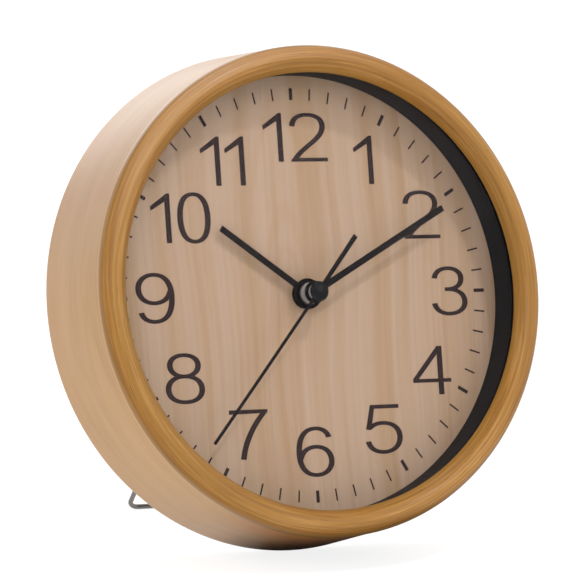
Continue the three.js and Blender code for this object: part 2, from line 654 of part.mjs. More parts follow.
function rotor() {
  const { wheel, pinion, module } = INTERMEDIATE_PAIR;
  const phase = meshedPhase(wheel, 0, pinion, ROTOR_DIRECTION);
  const leaves = gear(pinion, module, phase, ...ROTOR_PINION_Z);
  const magnet = rod(ROTOR_MAGNET_RADIUS, ...ROTOR_MAGNET_Z, 16);
  const arbor = rod(PIVOT_RADIUS, ARBOR_REAR_Z, TRAIN_PLATE_Z[1] - 0.2, PIN_FACETS);
  place("rotor", joined(magnet, leaves, arbor), "steel", [...ROTOR_AXIS, 0]);
}

// Motor: laminated stator, core, bobbin and winding

const COIL_Y = 22.3;
const COIL_Z = -9.2;
const BOBBIN_TUBE_RADIUS = 2.6;
const BOBBIN_CHEEK_RADIUS = 4.5;
const BOBBIN_CHEEK_WIDTH = 0.9;
const WINDING_RADIUS = 4.1;
const CORE_HALF_WIDTH = 1.5;
const ROTOR_MAGNET_RADIUS = 2.8;
const STATOR_BORE = 3.35;
const STATOR_LEG_TOP_Y = 24.6;
const STATOR_BRIDGE_LOW_Y = 16.0;
const STATOR_BRIDGE_HIGH_Y = 17.9;
const COIL_LEFT_X = -15.0;
const COIL_RIGHT_X = 8.0;
const CORE_LEFT_X = -20.0;
const CORE_RIGHT_X = 13.0;

function motor() {
  const plate = new THREE.Shape();
  const [rotorX, rotorY] = ROTOR_AXIS;
  plate.moveTo(CORE_LEFT_X, 20.0);
  plate.lineTo(CORE_LEFT_X, STATOR_LEG_TOP_Y);
  plate.lineTo(CORE_LEFT_X + 4, STATOR_LEG_TOP_Y);
  plate.lineTo(CORE_LEFT_X + 4, STATOR_BRIDGE_HIGH_Y);
  plate.lineTo(rotorX - 1.2, STATOR_BRIDGE_HIGH_Y);
  plate.lineTo(CORE_RIGHT_X - 3.2, 20.0);
  plate.lineTo(CORE_RIGHT_X - 3.2, STATOR_LEG_TOP_Y);
  plate.lineTo(CORE_RIGHT_X + 0.8, STATOR_LEG_TOP_Y);
  plate.lineTo(rotorX + 5.4, STATOR_BRIDGE_LOW_Y);
  plate.lineTo(rotorX + 5.4, rotorY - 4.0);
  plate.lineTo(rotorX + 3.0, rotorY - 5.0);
  plate.lineTo(rotorX - 3.0, rotorY - 5.0);
  plate.lineTo(rotorX - 4.8, rotorY - 3.0);
  plate.lineTo(rotorX - 4.8, STATOR_BRIDGE_LOW_Y);
  plate.lineTo(CORE_LEFT_X + 2, STATOR_BRIDGE_LOW_Y);
  const bore = rod(STATOR_BORE, -12, -9, 16, rotorX, rotorY);
  place("stator", cutBy(extruded(plate, ...STATOR_Z), bore), "steel");
  const coreLow = STATOR_Z[1] + 0.1;
  const coreLowY = COIL_Y - CORE_HALF_WIDTH;
  const coreHighY = COIL_Y + CORE_HALF_WIDTH;
  const core = block(CORE_LEFT_X, CORE_RIGHT_X, coreLowY, coreHighY, coreLow, coreLow + 1);
  place("coil_core", core, "steel");
  const coilRod = (radius, lowX, highX, sides) =>
    rodAlongX(radius, lowX, highX, COIL_Y, COIL_Z, sides);
  const leftCheekX = COIL_LEFT_X + BOBBIN_CHEEK_WIDTH;
  const rightCheekX = COIL_RIGHT_X - BOBBIN_CHEEK_WIDTH;
  const tube = coilRod(BOBBIN_TUBE_RADIUS, COIL_LEFT_X, COIL_RIGHT_X, 12);
  const leftCheek = coilRod(BOBBIN_CHEEK_RADIUS, COIL_LEFT_X, leftCheekX, 12);
  const rightCheek = coilRod(BOBBIN_CHEEK_RADIUS, rightCheekX, COIL_RIGHT_X, 12);
  const slot = block(-30, 20, coreLowY - 0.15, coreHighY + 0.15, coreLow - 0.15, coreLow + 1.15);
  // The cheeks stand clear of the stator legs, which lie behind the core.
  const under = block(-30, 20, COIL_Y - 5, COIL_Y + 5, STATOR_Z[0] - 0.2, STATOR_Z[1] + 0.05);
  const legs = under.subtract(block(COIL_LEFT_X - 0.5, COIL_RIGHT_X + 0.5, 0, 40, -20, 0));
  place("coil_bobbin", cutBy(joined(tube, leftCheek, rightCheek), slot, legs), "whitePlastic");
  const winding = cutBy(
    coilRod(WINDING_RADIUS, leftCheekX + 0.2, rightCheekX - 0.2, 16),
    coilRod(BOBBIN_TUBE_RADIUS + 0.2, COIL_LEFT_X, COIL_RIGHT_X, 12),
  );
  place("coil_winding", winding, "copper");
}

// Circuit board with its crystal

const BOARD = { lowX: 15.6, highX: 26.0, lowY: 12.4, highY: 26.0, rearZ: -13.6, frontZ: -12.6 };

function circuit() {
  const { lowX, highX, lowY, highY, rearZ, frontZ } = BOARD;
  const board = extruded(roundedRectangle(lowX, highX, lowY, highY, 0.8), rearZ, frontZ, 1);
  const chip = rod(1.8, rearZ - 0.8, rearZ + 0.1, PIN_FACETS, lowX + 3, lowY + 4);
  const postHole = rod(0.75, -15, -12, 8, highX - 2, highY - 2);
  place("circuit_board", cutBy(joined(board, chip), postHole), "circuit");
  const crystal = rodAlongX(1.0, lowX + 1.2, lowX + 7.2, highY - 4.6, rearZ - 1.15, PIN_FACETS);
  place("quartz_crystal", crystal, "steel");
}

// Movement housing, cover and train plate

const HALF_SIDE = MOVEMENT_SIDE / 2;
const HOUSING_REAR_Z = MOVEMENT_REAR_Z + COVER_THICKNESS + SEAT_GAP;
const FLOOR_Z = MOVEMENT_FRONT_Z - MOVEMENT_WALL;
const ROOM_BOTTOM_Y = BAY_TOP_Y + 1.0;
const PLATE_POSTS = [
  [-25.0, -8.6],
  [25.0, -8.6],
  [-25.0, 14.4],
];

function movementHousing() {
  const inner = HALF_SIDE - MOVEMENT_WALL;
  const outline = roundedRectangle(-HALF_SIDE, HALF_SIDE, -HALF_SIDE, HALF_SIDE, 3);
  const outer = extruded(outline, MOVEMENT_REAR_Z, MOVEMENT_FRONT_Z, 4);
  const roomOutline = roundedRectangle(-inner, inner, ROOM_BOTTOM_Y, inner, 2);
  const room = extruded(roomOutline, MOVEMENT_REAR_Z - 1, FLOOR_Z, 3);
  const bay = block(-inner, inner, BAY_BOTTOM_Y, BAY_TOP_Y, MOVEMENT_REAR_Z - 1, FLOOR_Z);
  const top = block(-30, 30, BAY_TOP_Y + 0.4, 30, MOVEMENT_REAR_Z - 1, HOUSING_REAR_Z);
  const fingerNotch = block(-8, 8, -30, BAY_BOTTOM_Y + 0.5, MOVEMENT_REAR_Z - 1, -12.5);
  const bushHole = rod(BUSH_RADIUS + 0.08, -6, -3, TUBE_FACETS);
  const postEnds = [TRAIN_PLATE_Z[1] + 0.1, FLOOR_Z + 0.2];
  const posts = PLATE_POSTS.map(([x, y]) => rod(POST_RADIUS, ...postEnds, PIN_FACETS, x, y));
  const boardPost = joined(
    rod(1.4, BOARD.frontZ + 0.1, FLOOR_Z + 0.2, PIN_FACETS, BOARD.highX - 2, BOARD.highY - 2),
    rod(0.6, BOARD.rearZ, FLOOR_Z + 0.2, 8, BOARD.highX - 2, BOARD.highY - 2),
  );
  const statorPost = rod(1.2, STATOR_Z[1] + 0.1, FLOOR_Z + 0.2, PIN_FACETS, CORE_LEFT_X + 1.6, 18.4);
  const minutePivot = rod(PIVOT_HOLE, -5, MOVEMENT_FRONT_Z - 0.4, PIN_FACETS, ...MINUTE_AXIS);
  const shell = cutBy(outer, room, bay, top, fingerNotch, bushHole);
  const filled = joined(shell, ...posts, boardPost, statorPost);
  place("movement_housing", cutBy(filled, minutePivot), "black");
}

function trainPlate() {
  const inner = HALF_SIDE - MOVEMENT_WALL - SEAT_GAP;
  const lowY = ROOM_BOTTOM_Y + SEAT_GAP;
  const plate = extruded(roundedRectangle(-inner, inner, lowY, 17.2, 1), ...TRAIN_PLATE_Z, 2);
  const holes = [
    rod(MINUTE_ARBOR_RADIUS + 0.08, -10, -6, TUBE_FACETS),
    ...[THIRD_AXIS, INTERMEDIATE_AXIS, ROTOR_AXIS, MINUTE_AXIS].map(([x, y]) =>
      rod(PIVOT_HOLE, -10, -6, PIN_FACETS, x, y),
    ),
    rod(SETTING_HOLE, -10, -6, 12, ...SETTING_AXIS),
  ];
  place("train_plate", cutBy(plate, ...holes), "whitePlastic");
}

function movementCover() {
  const lowY = BAY_TOP_Y + 0.4 + SEAT_GAP;
  const outline = roundedRectangle(-HALF_SIDE, HALF_SIDE, lowY, HALF_SIDE, 1.5);
  const plateFrontZ = MOVEMENT_REAR_Z + COVER_THICKNESS;
  let cover = extruded(outline, MOVEMENT_REAR_Z, plateFrontZ, 3);
  for (const [x, y] of [MAIN_AXIS, THIRD_AXIS, INTERMEDIATE_AXIS, ROTOR_AXIS]) {
    const boss = rod(POST_RADIUS, plateFrontZ - 0.1, REAR_BOSS_Z, PIN_FACETS, x, y);
    const bearing = rod(PIVOT_HOLE, ARBOR_REAR_Z - 0.2, REAR_BOSS_Z + 1, PIN_FACETS, x, y);
    cover = cutBy(joined(cover, boss), bearing);
  }
  const settingHole = rod(SETTING_HOLE, -20, -15, 12, ...SETTING_AXIS);
  place("movement_cover", cutBy(cover, settingHole), "black");
}

// Battery bay: contacts and cell

function batteryBay() {
  const wallX = HALF_SIDE - MOVEMENT_WALL;
  for (const side of [-1, 1]) {
    const outerX = side * (wallX - 0.3);
    const innerX = outerX - side * 0.4;
    const low = Math.min(outerX, innerX);
    const high = Math.max(outerX, innerX);
    const strip = block(low, high, CELL_Y - 3.5, CELL_Y + 3.5, -16.6, FLOOR_Z - 0.4);
    const tongueEnd = innerX - side * 0.55;
    const tongueLow = Math.min(innerX + side * 0.1, tongueEnd);
    const tongueHigh = Math.max(innerX + side * 0.1, tongueEnd);
    const tongue = block(tongueLow, tongueHigh, CELL_Y - 1.8, CELL_Y + 1.8, -14.2, -10.2);
    const name = side > 0 ? "contact_positive" : "contact_negative";
    place(name, joined(strip, tongue), "steel");
  }
  const canEnd = CELL_LENGTH / 2;
  const edge = 0.7;
  const profile = [
    [0, -canEnd],
    [CELL_RADIUS - edge, -canEnd],
    [CELL_RADIUS, -canEnd + edge],
    [CELL_RADIUS, canEnd - edge],
    [CELL_RADIUS - edge, canEnd],
    [CELL_NUB_RADIUS, canEnd],
    [CELL_NUB_RADIUS, canEnd + CELL_NUB_LENGTH],
    [0, canEnd + CELL_NUB_LENGTH],
  ].map(([radius, along]) => new THREE.Vector2(radius, along));
  const cell = solidOf(new THREE.LatheGeometry(profile, 16).rotateZ(-Math.PI / 2));
  place("battery", cell, "cellJacket", [-CELL_NUB_LENGTH / 2, CELL_Y, CELL_Z]);
}

// Back cover with the stand's lugs and stops

function backCover() {
  const frontZ = COVER_REAR_Z + COVER_PLATE;
  const windowHalf = COVER_WINDOW / 2;
  const collarHalf = windowHalf + 1.4;
  const window = roundedRectangle(-windowHalf, windowHalf, -windowHalf, windowHalf, 3.2);
  const collar = roundedRectangle(-collarHalf, collarHalf, -collarHalf, collarHalf, 4.4);
  let cover = joined(
    rod(COVER_RADIUS, COVER_REAR_Z, frontZ, RIM_FACETS),
    extruded(collar, frontZ - 0.2, frontZ + 3.2, 3),
  );
  cover = cutBy(cover, extruded(window, -30, 0, 3));
  for (const [x, y] of coverScrewPlaces()) {
    const shank = rod(SCREW_HOLE_RADIUS, -30, 0, PIN_FACETS, x, y);
    const head = rod(SCREW_WELL_RADIUS, -30, COVER_REAR_Z + SCREW_LEDGE, 12, x, y);
    cover = cutBy(cover, shank, head);
  }
  for (const side of [-1, 1]) {
    const lowX = side > 0 ? LUG_INNER_X : -LUG_OUTER_X;
    const highX = side > 0 ? LUG_OUTER_X : -LUG_INNER_X;
    const rootZ = COVER_REAR_Z + 0.2;
    const rootLowY = STAND_PIVOT_Y - LUG_ROOT_HALF;
    const rootHighY = STAND_PIVOT_Y + LUG_ROOT_HALF;
    const lug = joined(
      block(lowX, highX, rootLowY, rootHighY, STAND_PIVOT_Z, rootZ),
      rodAlongX(LUG_ROUND, lowX, highX, STAND_PIVOT_Y, STAND_PIVOT_Z, 12),
    );
    const hole = rodAlongX(LUG_HOLE, lowX - 1, highX + 1, STAND_PIVOT_Y, STAND_PIVOT_Z, 12);
    const legX = side * (STAND_PIVOT_HALF - 0.6);
    const stopLowX = legX - STOP_HALF_WIDTH;
    const stopHighX = legX + STOP_HALF_WIDTH;
    const stop = block(stopLowX, stopHighX, STOP_LOW_Y, STOP_HIGH_Y, STOP_REAR_Z, rootZ);
    cover = joined(cutBy(joined(cover, lug), hole), stop);
  }
  place("back_cover", cover, "whitePlastic");
}

// Wire stand: one bent wire, drawn flat with its legs along -Y, then opened about its tips

// A bent wire as a list of points, each one a ring of the swept section.
class BentWire extends THREE.Curve {
  constructor(points) {
    super();
    this.points = points;
  }

  getPoint(share, target = new THREE.Vector3()) {
    const along = share * (this.points.length - 1);
    const index = Math.min(Math.floor(along), this.points.length - 2);
    return target.lerpVectors(this.points[index], this.points[index + 1], along - index);
  }

  getPointAt(share, target) {
    return this.getPoint(share, target);
  }

  getTangentAt(share, target) {
    return this.getTangent(share, target);
  }
}

// Rounds each inner corner of a run of points with an arc of its own bend radius.
function roundedRun(corners, bends, steps) {
  const points = [corners[0]];
  for (let index = 1; index < corners.length - 1; index += 1) {
    const corner = corners[index];
    const bend = bends[index - 1];
    const before = corners[index - 1].clone().sub(corner).normalize();
    const after = corners[index + 1].clone().sub(corner).normalize();
    const half = before.angleTo(after) / 2;
    const centre = before
      .clone()
      .add(after)
      .normalize()
      .multiplyScalar(bend / Math.sin(half))
      .add(corner);
    const start = before.clone().multiplyScalar(bend / Math.tan(half)).add(corner).sub(centre);
    const sweep = Math.PI - 2 * half;
    const axis = before.clone().cross(after).normalize().negate();
    for (let step = 0; step <= steps; step += 1) {
      points.push(start.clone().applyAxisAngle(axis, (sweep * step) / steps).add(centre));
    }
  }
  points.push(corners[corners.length - 1]);
  return points;
}

function wireStand() {
  const lean = radians(LEAN_DEG);
  // The rear edge of the case and the foot of the wire rest on one plane: the foot's place
  // on that plane follows from the lean and from how far behind the dial it stands.
  const edgeY = -(CASE_REAR_RADIUS - REAR_EDGE_ROUND) * Math.cos(Math.PI / RIM_FACETS);
  const edgeZ = CASE_REAR_Z + REAR_EDGE_ROUND;
  const edgeHeight = edgeY * Math.cos(lean) + edgeZ * Math.sin(lean) - REAR_EDGE_ROUND;
  const footHeight = edgeHeight + WIRE_RADIUS;
  const footY = (footHeight - STAND_FOOT_Z * Math.sin(lean)) / Math.cos(lean);
  const dropY = footY - STAND_PIVOT_Y;
  const dropZ = STAND_FOOT_Z - STAND_PIVOT_Z;
  const length = Math.hypot(dropY, dropZ);
  const open = Math.atan2(-dropZ, -dropY);
  const half = [
    new THREE.Vector3(STAND_TIP_HALF, 0, 0),
    new THREE.Vector3(STAND_PIVOT_HALF, 0, 0),
    new THREE.Vector3(STAND_FOOT_HALF, -length, 0),
  ];
  const other = half.map((point) => new THREE.Vector3(-point.x, point.y, 0)).reverse();
  const bends = [WIRE_TIP_BEND, WIRE_FOOT_BEND, WIRE_FOOT_BEND, WIRE_TIP_BEND];
  const points = roundedRun([...half, ...other], bends, 3);
  const section = new THREE.Shape();
  const sides = 8;
  for (let side = 0; side < sides; side += 1) {
    const angle = ((side + 0.5) * 2 * Math.PI) / sides;
    const point = [WIRE_RADIUS * Math.cos(angle), WIRE_RADIUS * Math.sin(angle)];
    if (side === 0) {
      section.moveTo(...point);
    } else {
      section.lineTo(...point);
    }
  }
  const settings = { steps: points.length - 1, extrudePath: new BentWire(points) };
  const wire = solidOf(new THREE.ExtrudeGeometry(section, settings));
  const mesh = place("wire_stand", wire, "steel", [0, STAND_PIVOT_Y, STAND_PIVOT_Z]);
  mesh.rotation.x = open;
}

caseDrum();
frontBezel();
lensAndRehaut();
dialAndPlate();
bushAndNut();
hourHand();
minuteHand();
secondHand();
hourWheel();
minuteArbor();
minuteWheel();
settingKnob();
centreWheel();
thirdWheel();
secondWheel();
intermediateWheel();
rotor();
motor();
circuit();
movementHousing();
trainPlate();
movementCover();
batteryBay();
backCover();
wireStand();

// Lean the clock back, then stand it on Z = 0 with the origin under the middle of its box.
clock.rotation.x = Math.PI / 2 - radians(LEAN_DEG);
clock.updateMatrixWorld(true);
const box = new THREE.Box3().setFromObject(clock, true);
clock.position.set(-(box.min.x + box.max.x) / 2, -(box.min.y + box.max.y) / 2, -box.min.z);

export default clock;
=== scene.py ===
import json
import math

import bmesh
import bpy
from mathutils import Matrix, Vector
from mathutils.geometry import delaunay_2d_cdt

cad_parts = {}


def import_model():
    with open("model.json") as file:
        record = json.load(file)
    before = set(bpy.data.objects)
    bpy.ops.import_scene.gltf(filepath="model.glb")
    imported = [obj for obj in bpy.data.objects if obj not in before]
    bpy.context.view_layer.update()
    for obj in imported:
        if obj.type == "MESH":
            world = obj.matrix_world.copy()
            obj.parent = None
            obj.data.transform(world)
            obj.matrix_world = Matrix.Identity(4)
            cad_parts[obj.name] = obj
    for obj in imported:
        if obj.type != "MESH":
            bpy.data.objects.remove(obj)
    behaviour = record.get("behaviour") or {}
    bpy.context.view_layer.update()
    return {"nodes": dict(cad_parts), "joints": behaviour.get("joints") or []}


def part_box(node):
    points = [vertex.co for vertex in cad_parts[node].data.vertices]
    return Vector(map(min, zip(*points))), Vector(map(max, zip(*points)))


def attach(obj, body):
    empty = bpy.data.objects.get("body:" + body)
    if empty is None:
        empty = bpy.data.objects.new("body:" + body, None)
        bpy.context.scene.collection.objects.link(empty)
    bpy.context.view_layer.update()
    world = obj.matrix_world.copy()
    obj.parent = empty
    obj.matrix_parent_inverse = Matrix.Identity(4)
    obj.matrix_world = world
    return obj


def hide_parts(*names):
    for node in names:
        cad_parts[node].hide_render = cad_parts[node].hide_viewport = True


# Round desk clock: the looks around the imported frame.
# Pieces are drawn in millimetres in the clock frame: origin in the middle of the dial's face,
# +Y at 12 o'clock, +X at 3 o'clock, +Z out of the dial at the reader.

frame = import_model()

# Driving sizes in millimetres, as in the part's source

MM = 0.001
SEGMENTS = 192
RIM_FACETS = 48
# A round rim that fits inside the CAD's flat-sided one is smaller by this share.
RIM_FLAT = math.cos(math.pi / RIM_FACETS)

CASE_REAR_RADIUS = 77.58
CASE_FRONT_RADIUS = 75.5 * RIM_FLAT - 0.03
CASE_REAR_Z, CASE_JOINT_Z = -22.0, 10.7
REAR_EDGE_ROUND, FRONT_EDGE_ROUND, REAR_CHAMFER = 2.0, 0.08, 0.3
JOINT_STEP, JOINT_STEP_WIDTH = 0.05, 0.9
DRUM_BORE_RADIUS, DRUM_ROOM_RADIUS = 72.9, 74.2
DIAL_SEAT_RADIUS, DIAL_SEAT_Z, DIAL_SEAT_THICKNESS = 66.0, -2.5, 1.8
COVER_SEAT_RADIUS, COVER_SEAT_Z, COVER_SEAT_THICKNESS = 70.0, -15.4, 1.6
COVER_RADIUS, COVER_GAP = 73.1 * RIM_FLAT, 0.45
COVER_REAR_Z, COVER_PLATE = -17.5, 1.8
BEZEL_WALL_Z, BEZEL_ROUND, BEZEL_RISE, BEZEL_CHAMFER = 13.07, 4.2, 4.17, 0.06
BEZEL_LIP_RADIUS, BEZEL_LIP_Z, BEZEL_LIP_THICKNESS = 67.0, 13.3, 0.4
BEZEL_LIP_SLOPE, BEZEL_SKIRT_REAR_Z, BEZEL_FACE_STEPS, SEAT_GAP = 0.05, 5.0, 14, 0.3
LENS_REBATE_RADIUS, LENS_RADIUS, LENS_EDGE = 71.0, 70.4, 0.15
LENS_REAR_Z, LENS_FRONT_Z = 11.2, 12.6
DIAL_RADIUS, DIAL_HOLE, DIAL_THICKNESS, DIAL_SEEN_RADIUS = 70.0, 3.8, 0.4, 67.8
RING_RADIUS, RING_REAR_Z, RING_FRONT_Z = 70.4, 0.3, 10.9
RING_STEP_RADIUS, RING_STEP_Z, RING_MOUTH_RADIUS, RING_EDGE = 69.3, 9.5, 68.3, 0.15


def joint_named(name):
    return next(joint for joint in frame["joints"] if joint["name"] == name)


def clock_matrix():
    """Millimetres in the clock frame to metres in the row frame, from the frame's own joints."""
    front = -Vector(joint_named("second_spin")["axis"]).normalized()
    right = Vector((1, 0, 0))
    up = front.cross(right)
    low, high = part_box("dial")
    origin = (low + high) / 2 + front * DIAL_THICKNESS / 2 * MM
    turn = Matrix((right, up, front)).transposed()
    return Matrix.Translation(origin) @ turn.to_4x4() @ Matrix.Scale(MM, 4)


CLOCK = clock_matrix()
LEAN_TURN = CLOCK.to_euler("XYZ")

# Shapes


def circle(radius, count=64, x=0.0, y=0.0):
    """Points of a circle, counterclockwise."""
    turns = [2 * math.pi * step / count for step in range(count)]
    return [(x + radius * math.cos(turn), y + radius * math.sin(turn)) for turn in turns]


def arc(x, y, radius_x, radius_y, start, end, steps):
    """Points of an elliptic arc between two angles in degrees."""
    angles = [math.radians(start + (end - start) * step / steps) for step in range(steps + 1)]
    return [(x + radius_x * math.cos(a), y + radius_y * math.sin(a)) for a in angles]


def rounded_square(half, corner, steps=6):
    """Points of a square with round corners, counterclockwise."""
    inner = half - corner
    centres = [(inner, -inner), (inner, inner), (-inner, inner), (-inner, -inner)]
    points = []
    for number, (x, y) in enumerate(centres):
        start = 90 * number - 90
        points += arc(x, y, corner, corner, start, start + 90, steps)
    return points


def stairs(radii, levels):
    """A profile of right-angled steps: from each radius to the next one, over each level in turn."""
    pairs = zip(radii, radii[1:], levels)
    return [point for start, end, z in pairs for point in ((start, z), (end, z))]


def turned(outline, clock_angle):
    """An outline drawn pointing at 12, turned clockwise by an angle in degrees."""
    angle = math.radians(-clock_angle)
    cos, sin = math.cos(angle), math.sin(angle)
    return [(x * cos - y * sin, x * sin + y * cos) for x, y in outline]


def counterclockwise(outline):
    """The outline with its inside on the left."""
    area = sum(x0 * y1 - x1 * y0 for (x0, y0), (x1, y1) in zip(outline, outline[1:] + outline[:1]))
    return outline if area > 0 else outline[::-1]


def overlaid(outlines, tolerance=1e-5):
    """Points and triangles of flat outlines, each triangle with the numbers of those that hold it."""
    points, faces = [], []
    for outline in outlines:
        start = len(points)
        points += [Vector(point) for point in counterclockwise(outline)]
        faces.append(list(range(start, len(points))))
    inside_only = 1
    found, _, triangles, _, _, holders = delaunay_2d_cdt(points, [], faces, inside_only, tolerance)
    return found, [(tuple(tri), held) for tri, held in zip(triangles, holders)]


# The domed end of a wire: how far in, and how wide, in wire radii
WIRE_DOME = [(0.0, 0.62), (0.14, 0.86), (0.34, 1.0)]


class Shell:
    """The points and faces of one piece, in millimetres."""

    def __init__(self):
        self.points = []
        self.faces = []

    def add(self, points, faces):
        start = len(self.points)
        self.points += [Vector(point) for point in points]
        self.faces += [tuple(start + index for index in face) for face in faces]

    def skin(self, rows):
        """Strips between closed rows of points, with as many points each."""
        count = len(rows[0])
        faces = []
        for here in range(0, count * (len(rows) - 1), count):
            there = here + count
            for index in range(count):
                after = (index + 1) % count
                faces.append((here + index, here + after, there + after, there + index))
        self.add([point for row in rows for point in row], faces)

    def bands(self, *rings):
        """Strips between flat outlines, each given with its z."""
        self.skin([[(x, y, z) for x, y in outline] for outline, z in rings])

    def cap(self, outer, holes, z):
        """A flat face inside an outline, with holes."""
        found, triangles = overlaid([outer, *holes])
        kept = [tri for tri, held in triangles if held == [0]]
        self.add([(point.x, point.y, z) for point in found], kept)

    def plate(self, outer, holes, low_z, high_z, edge=None):
        """A flat plate with holes; edge is its outer outline a chamfer further in, and the chamfer."""
        inner, drop = edge or (outer, 0.0)
        rings = [(inner, low_z), (outer, low_z + drop), (outer, high_z - drop), (inner, high_z)]
        self.bands(*(rings if drop else rings[1:3]))
        for z in (low_z, high_z):
            self.cap(inner, holes, z)
        for hole in holes:
            self.bands((hole, low_z), (hole, high_z))

    def revolve(self, profile, segments, closed=True):
        """A profile of (radius, z) turned about Z."""
        rounds = [*profile, profile[0]] if closed else profile
        self.bands(*((circle(radius, segments), z) for radius, z in rounds))

    def strokes(self, quads, low_z, high_z):
        """The union of flat quads as one thin plate."""
        found, triangles = overlaid(quads)
        kept = [tri for tri, held in triangles if held]
        sides = {side for tri in kept for side in zip(tri, tri[1:] + tri[:1])}
        rims = sorted(side for side in sides if side[::-1] not in sides)
        count = len(found)
        raised = [tuple(count + index for index in tri) for tri in kept]
        walls = [(start, end, count + end, count + start) for start, end in rims]
        points = [(point.x, point.y, z) for z in (low_z, high_z) for point in found]
        self.add(points, kept + raised + walls)

    def sweep(self, path, radius, sides):
        """A round wire along a path of 3-D points, with domed ends."""
        rings = []
        last = len(path) - 1
        side = (path[1] - path[0]).orthogonal()
        for index, point in enumerate(path):
            ahead = (path[min(index + 1, last)] - path[max(index - 1, 0)]).normalized()
            side = (side - ahead * side.dot(ahead)).normalized()
            rings.append((point, ahead, side, radius))
        domes = []
        for reach, (tip, ahead, side, _) in ((radius, rings[0]), (-radius, rings[-1])):
            domes.append([
                (tip + ahead * reach * lead, ahead, side, radius * wide) for lead, wide in WIRE_DOME
            ])
        rings = domes[0] + rings[1:-1] + domes[1][::-1]
        rows = []
        for centre, ahead, side, wide in rings:
            across = ahead.cross(side)
            rows.append([centre + (side * u + across * v) * wide for u, v in circle(1.0, sides)])
        start = len(self.points)
        self.skin(rows)
        end = len(self.points)
        self.faces += [tuple(range(start, start + sides)), tuple(range(end - sides, end))]


# How near points are joined, in millimetres, and how sharp an edge stays crisp, in degrees
JOIN_GAP, SHARP_ANGLE = 1e-4, 35


def placed(name, data):
    """A new object in the scene."""
    made = bpy.data.objects.new(name, data)
    bpy.context.scene.collection.objects.link(made)
    return made


def piece(name, shell, body, slot, look, replaces=(), matrix=CLOCK, sharp=SHARP_ANGLE):
    """Makes a named object of a shell, and gives it its body and material."""
    mesh = bpy.data.meshes.new(name)
    mesh.from_pydata(shell.points, [], shell.faces)
    work = bmesh.new()
    work.from_mesh(mesh)
    bmesh.ops.remove_doubles(work, verts=work.verts, dist=JOIN_GAP)
    bmesh.ops.recalc_face_normals(work, faces=work.faces)
    work.to_mesh(mesh)
    work.free()
    mesh.transform(matrix)
    mesh.shade_smooth()
    mesh.set_sharp_from_angle(angle=math.radians(sharp))
    mesh.materials.append(LOOKS[look])
    made = placed(name, mesh)
    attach(made, body)
    if replaces:
        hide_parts(*replaces)


def lathe(name, profile, body, slot, look, replaces, segments=96, closed=True, matrix=CLOCK):
    """Makes a piece of a profile turned about Z."""
    shell = Shell()
    shell.revolve(profile, segments, closed)
    piece(name, shell, body, slot, look, replaces, matrix)


# Materials

WHITE = (1, 1, 1, 1)


def srgb(red, green, blue):
    """A colour of 0 to 255 values as the linear colour that a shader takes."""
    shares = [value / 255 for value in (red, green, blue)]
    linear = [s / 12.92 if s <= 0.04045 else ((s + 0.055) / 1.055) ** 2.4 for s in shares]
    return (*linear, 1.0)


class Nodes:
    """A node tree, with short calls that add and join its nodes."""

    def __init__(self, tree):
        self.tree = tree

    def fill(self, socket, value):
        if isinstance(value, bpy.types.NodeSocket):
            self.tree.links.new(value, socket)
        elif value is not None:
            socket.default_value = value

    def node(self, kind, sockets=(), **settings):
        made = self.tree.nodes.new(kind)
        for name, value in settings.items():
            setattr(made, name, value)
        for key, value in dict(sockets).items():
            self.fill(made.inputs[key], value)
        return made

    def math(self, operation, first, second=0.0, clamp=False):
        sockets = {0: first, 1: second}
        return self.node("ShaderNodeMath", sockets, operation=operation, use_clamp=clamp).outputs[0]

    def plus(self, first, second):
        return self.math("ADD", first, second)

    def minus(self, first, second):
        return self.math("SUBTRACT", first, second)

    def times(self, first, second):
        return self.math("MULTIPLY", first, second)

    def blend(self, share, first, second):
        """A share of one value and the rest of another."""
        return self.plus(self.times(first, share), self.times(second, 1.0 - share))

    def length(self, x, y):
        """How far a flat point is from the origin."""
        return self.math("SQRT", self.plus(self.times(x, x), self.times(y, y)))

    def split(self, vector):
        return self.node("ShaderNodeSeparateXYZ", {0: vector}).outputs

    def join(self, x, y, z=0.0):
        return self.node("ShaderNodeCombineXYZ", {0: x, 1: y, 2: z}).outputs[0]

    def span(self, value, low, high, to_low=0.0, to_high=1.0):
        """A value's place between low and high, as a value from to_low to to_high."""
        sockets = {0: value, 1: low, 2: high, 3: to_low, 4: to_high}
        return self.node("ShaderNodeMapRange", sockets, clamp=True).outputs[0]

    def between(self, value, start, full, fading, end):
        """1 from full to fading, and 0 before start and after end."""
        return self.times(self.span(value, start, full), self.span(value, end, fading))

    def seen(self):
        """1 for the rays of the camera, of metal and of glass, and 0 for others."""
        rays = self.node("ShaderNodeLightPath").outputs
        straight = self.plus(rays["Is Camera Ray"], rays["Is Glossy Ray"])
        return self.math("ADD", straight, rays["Is Transmission Ray"], clamp=True)


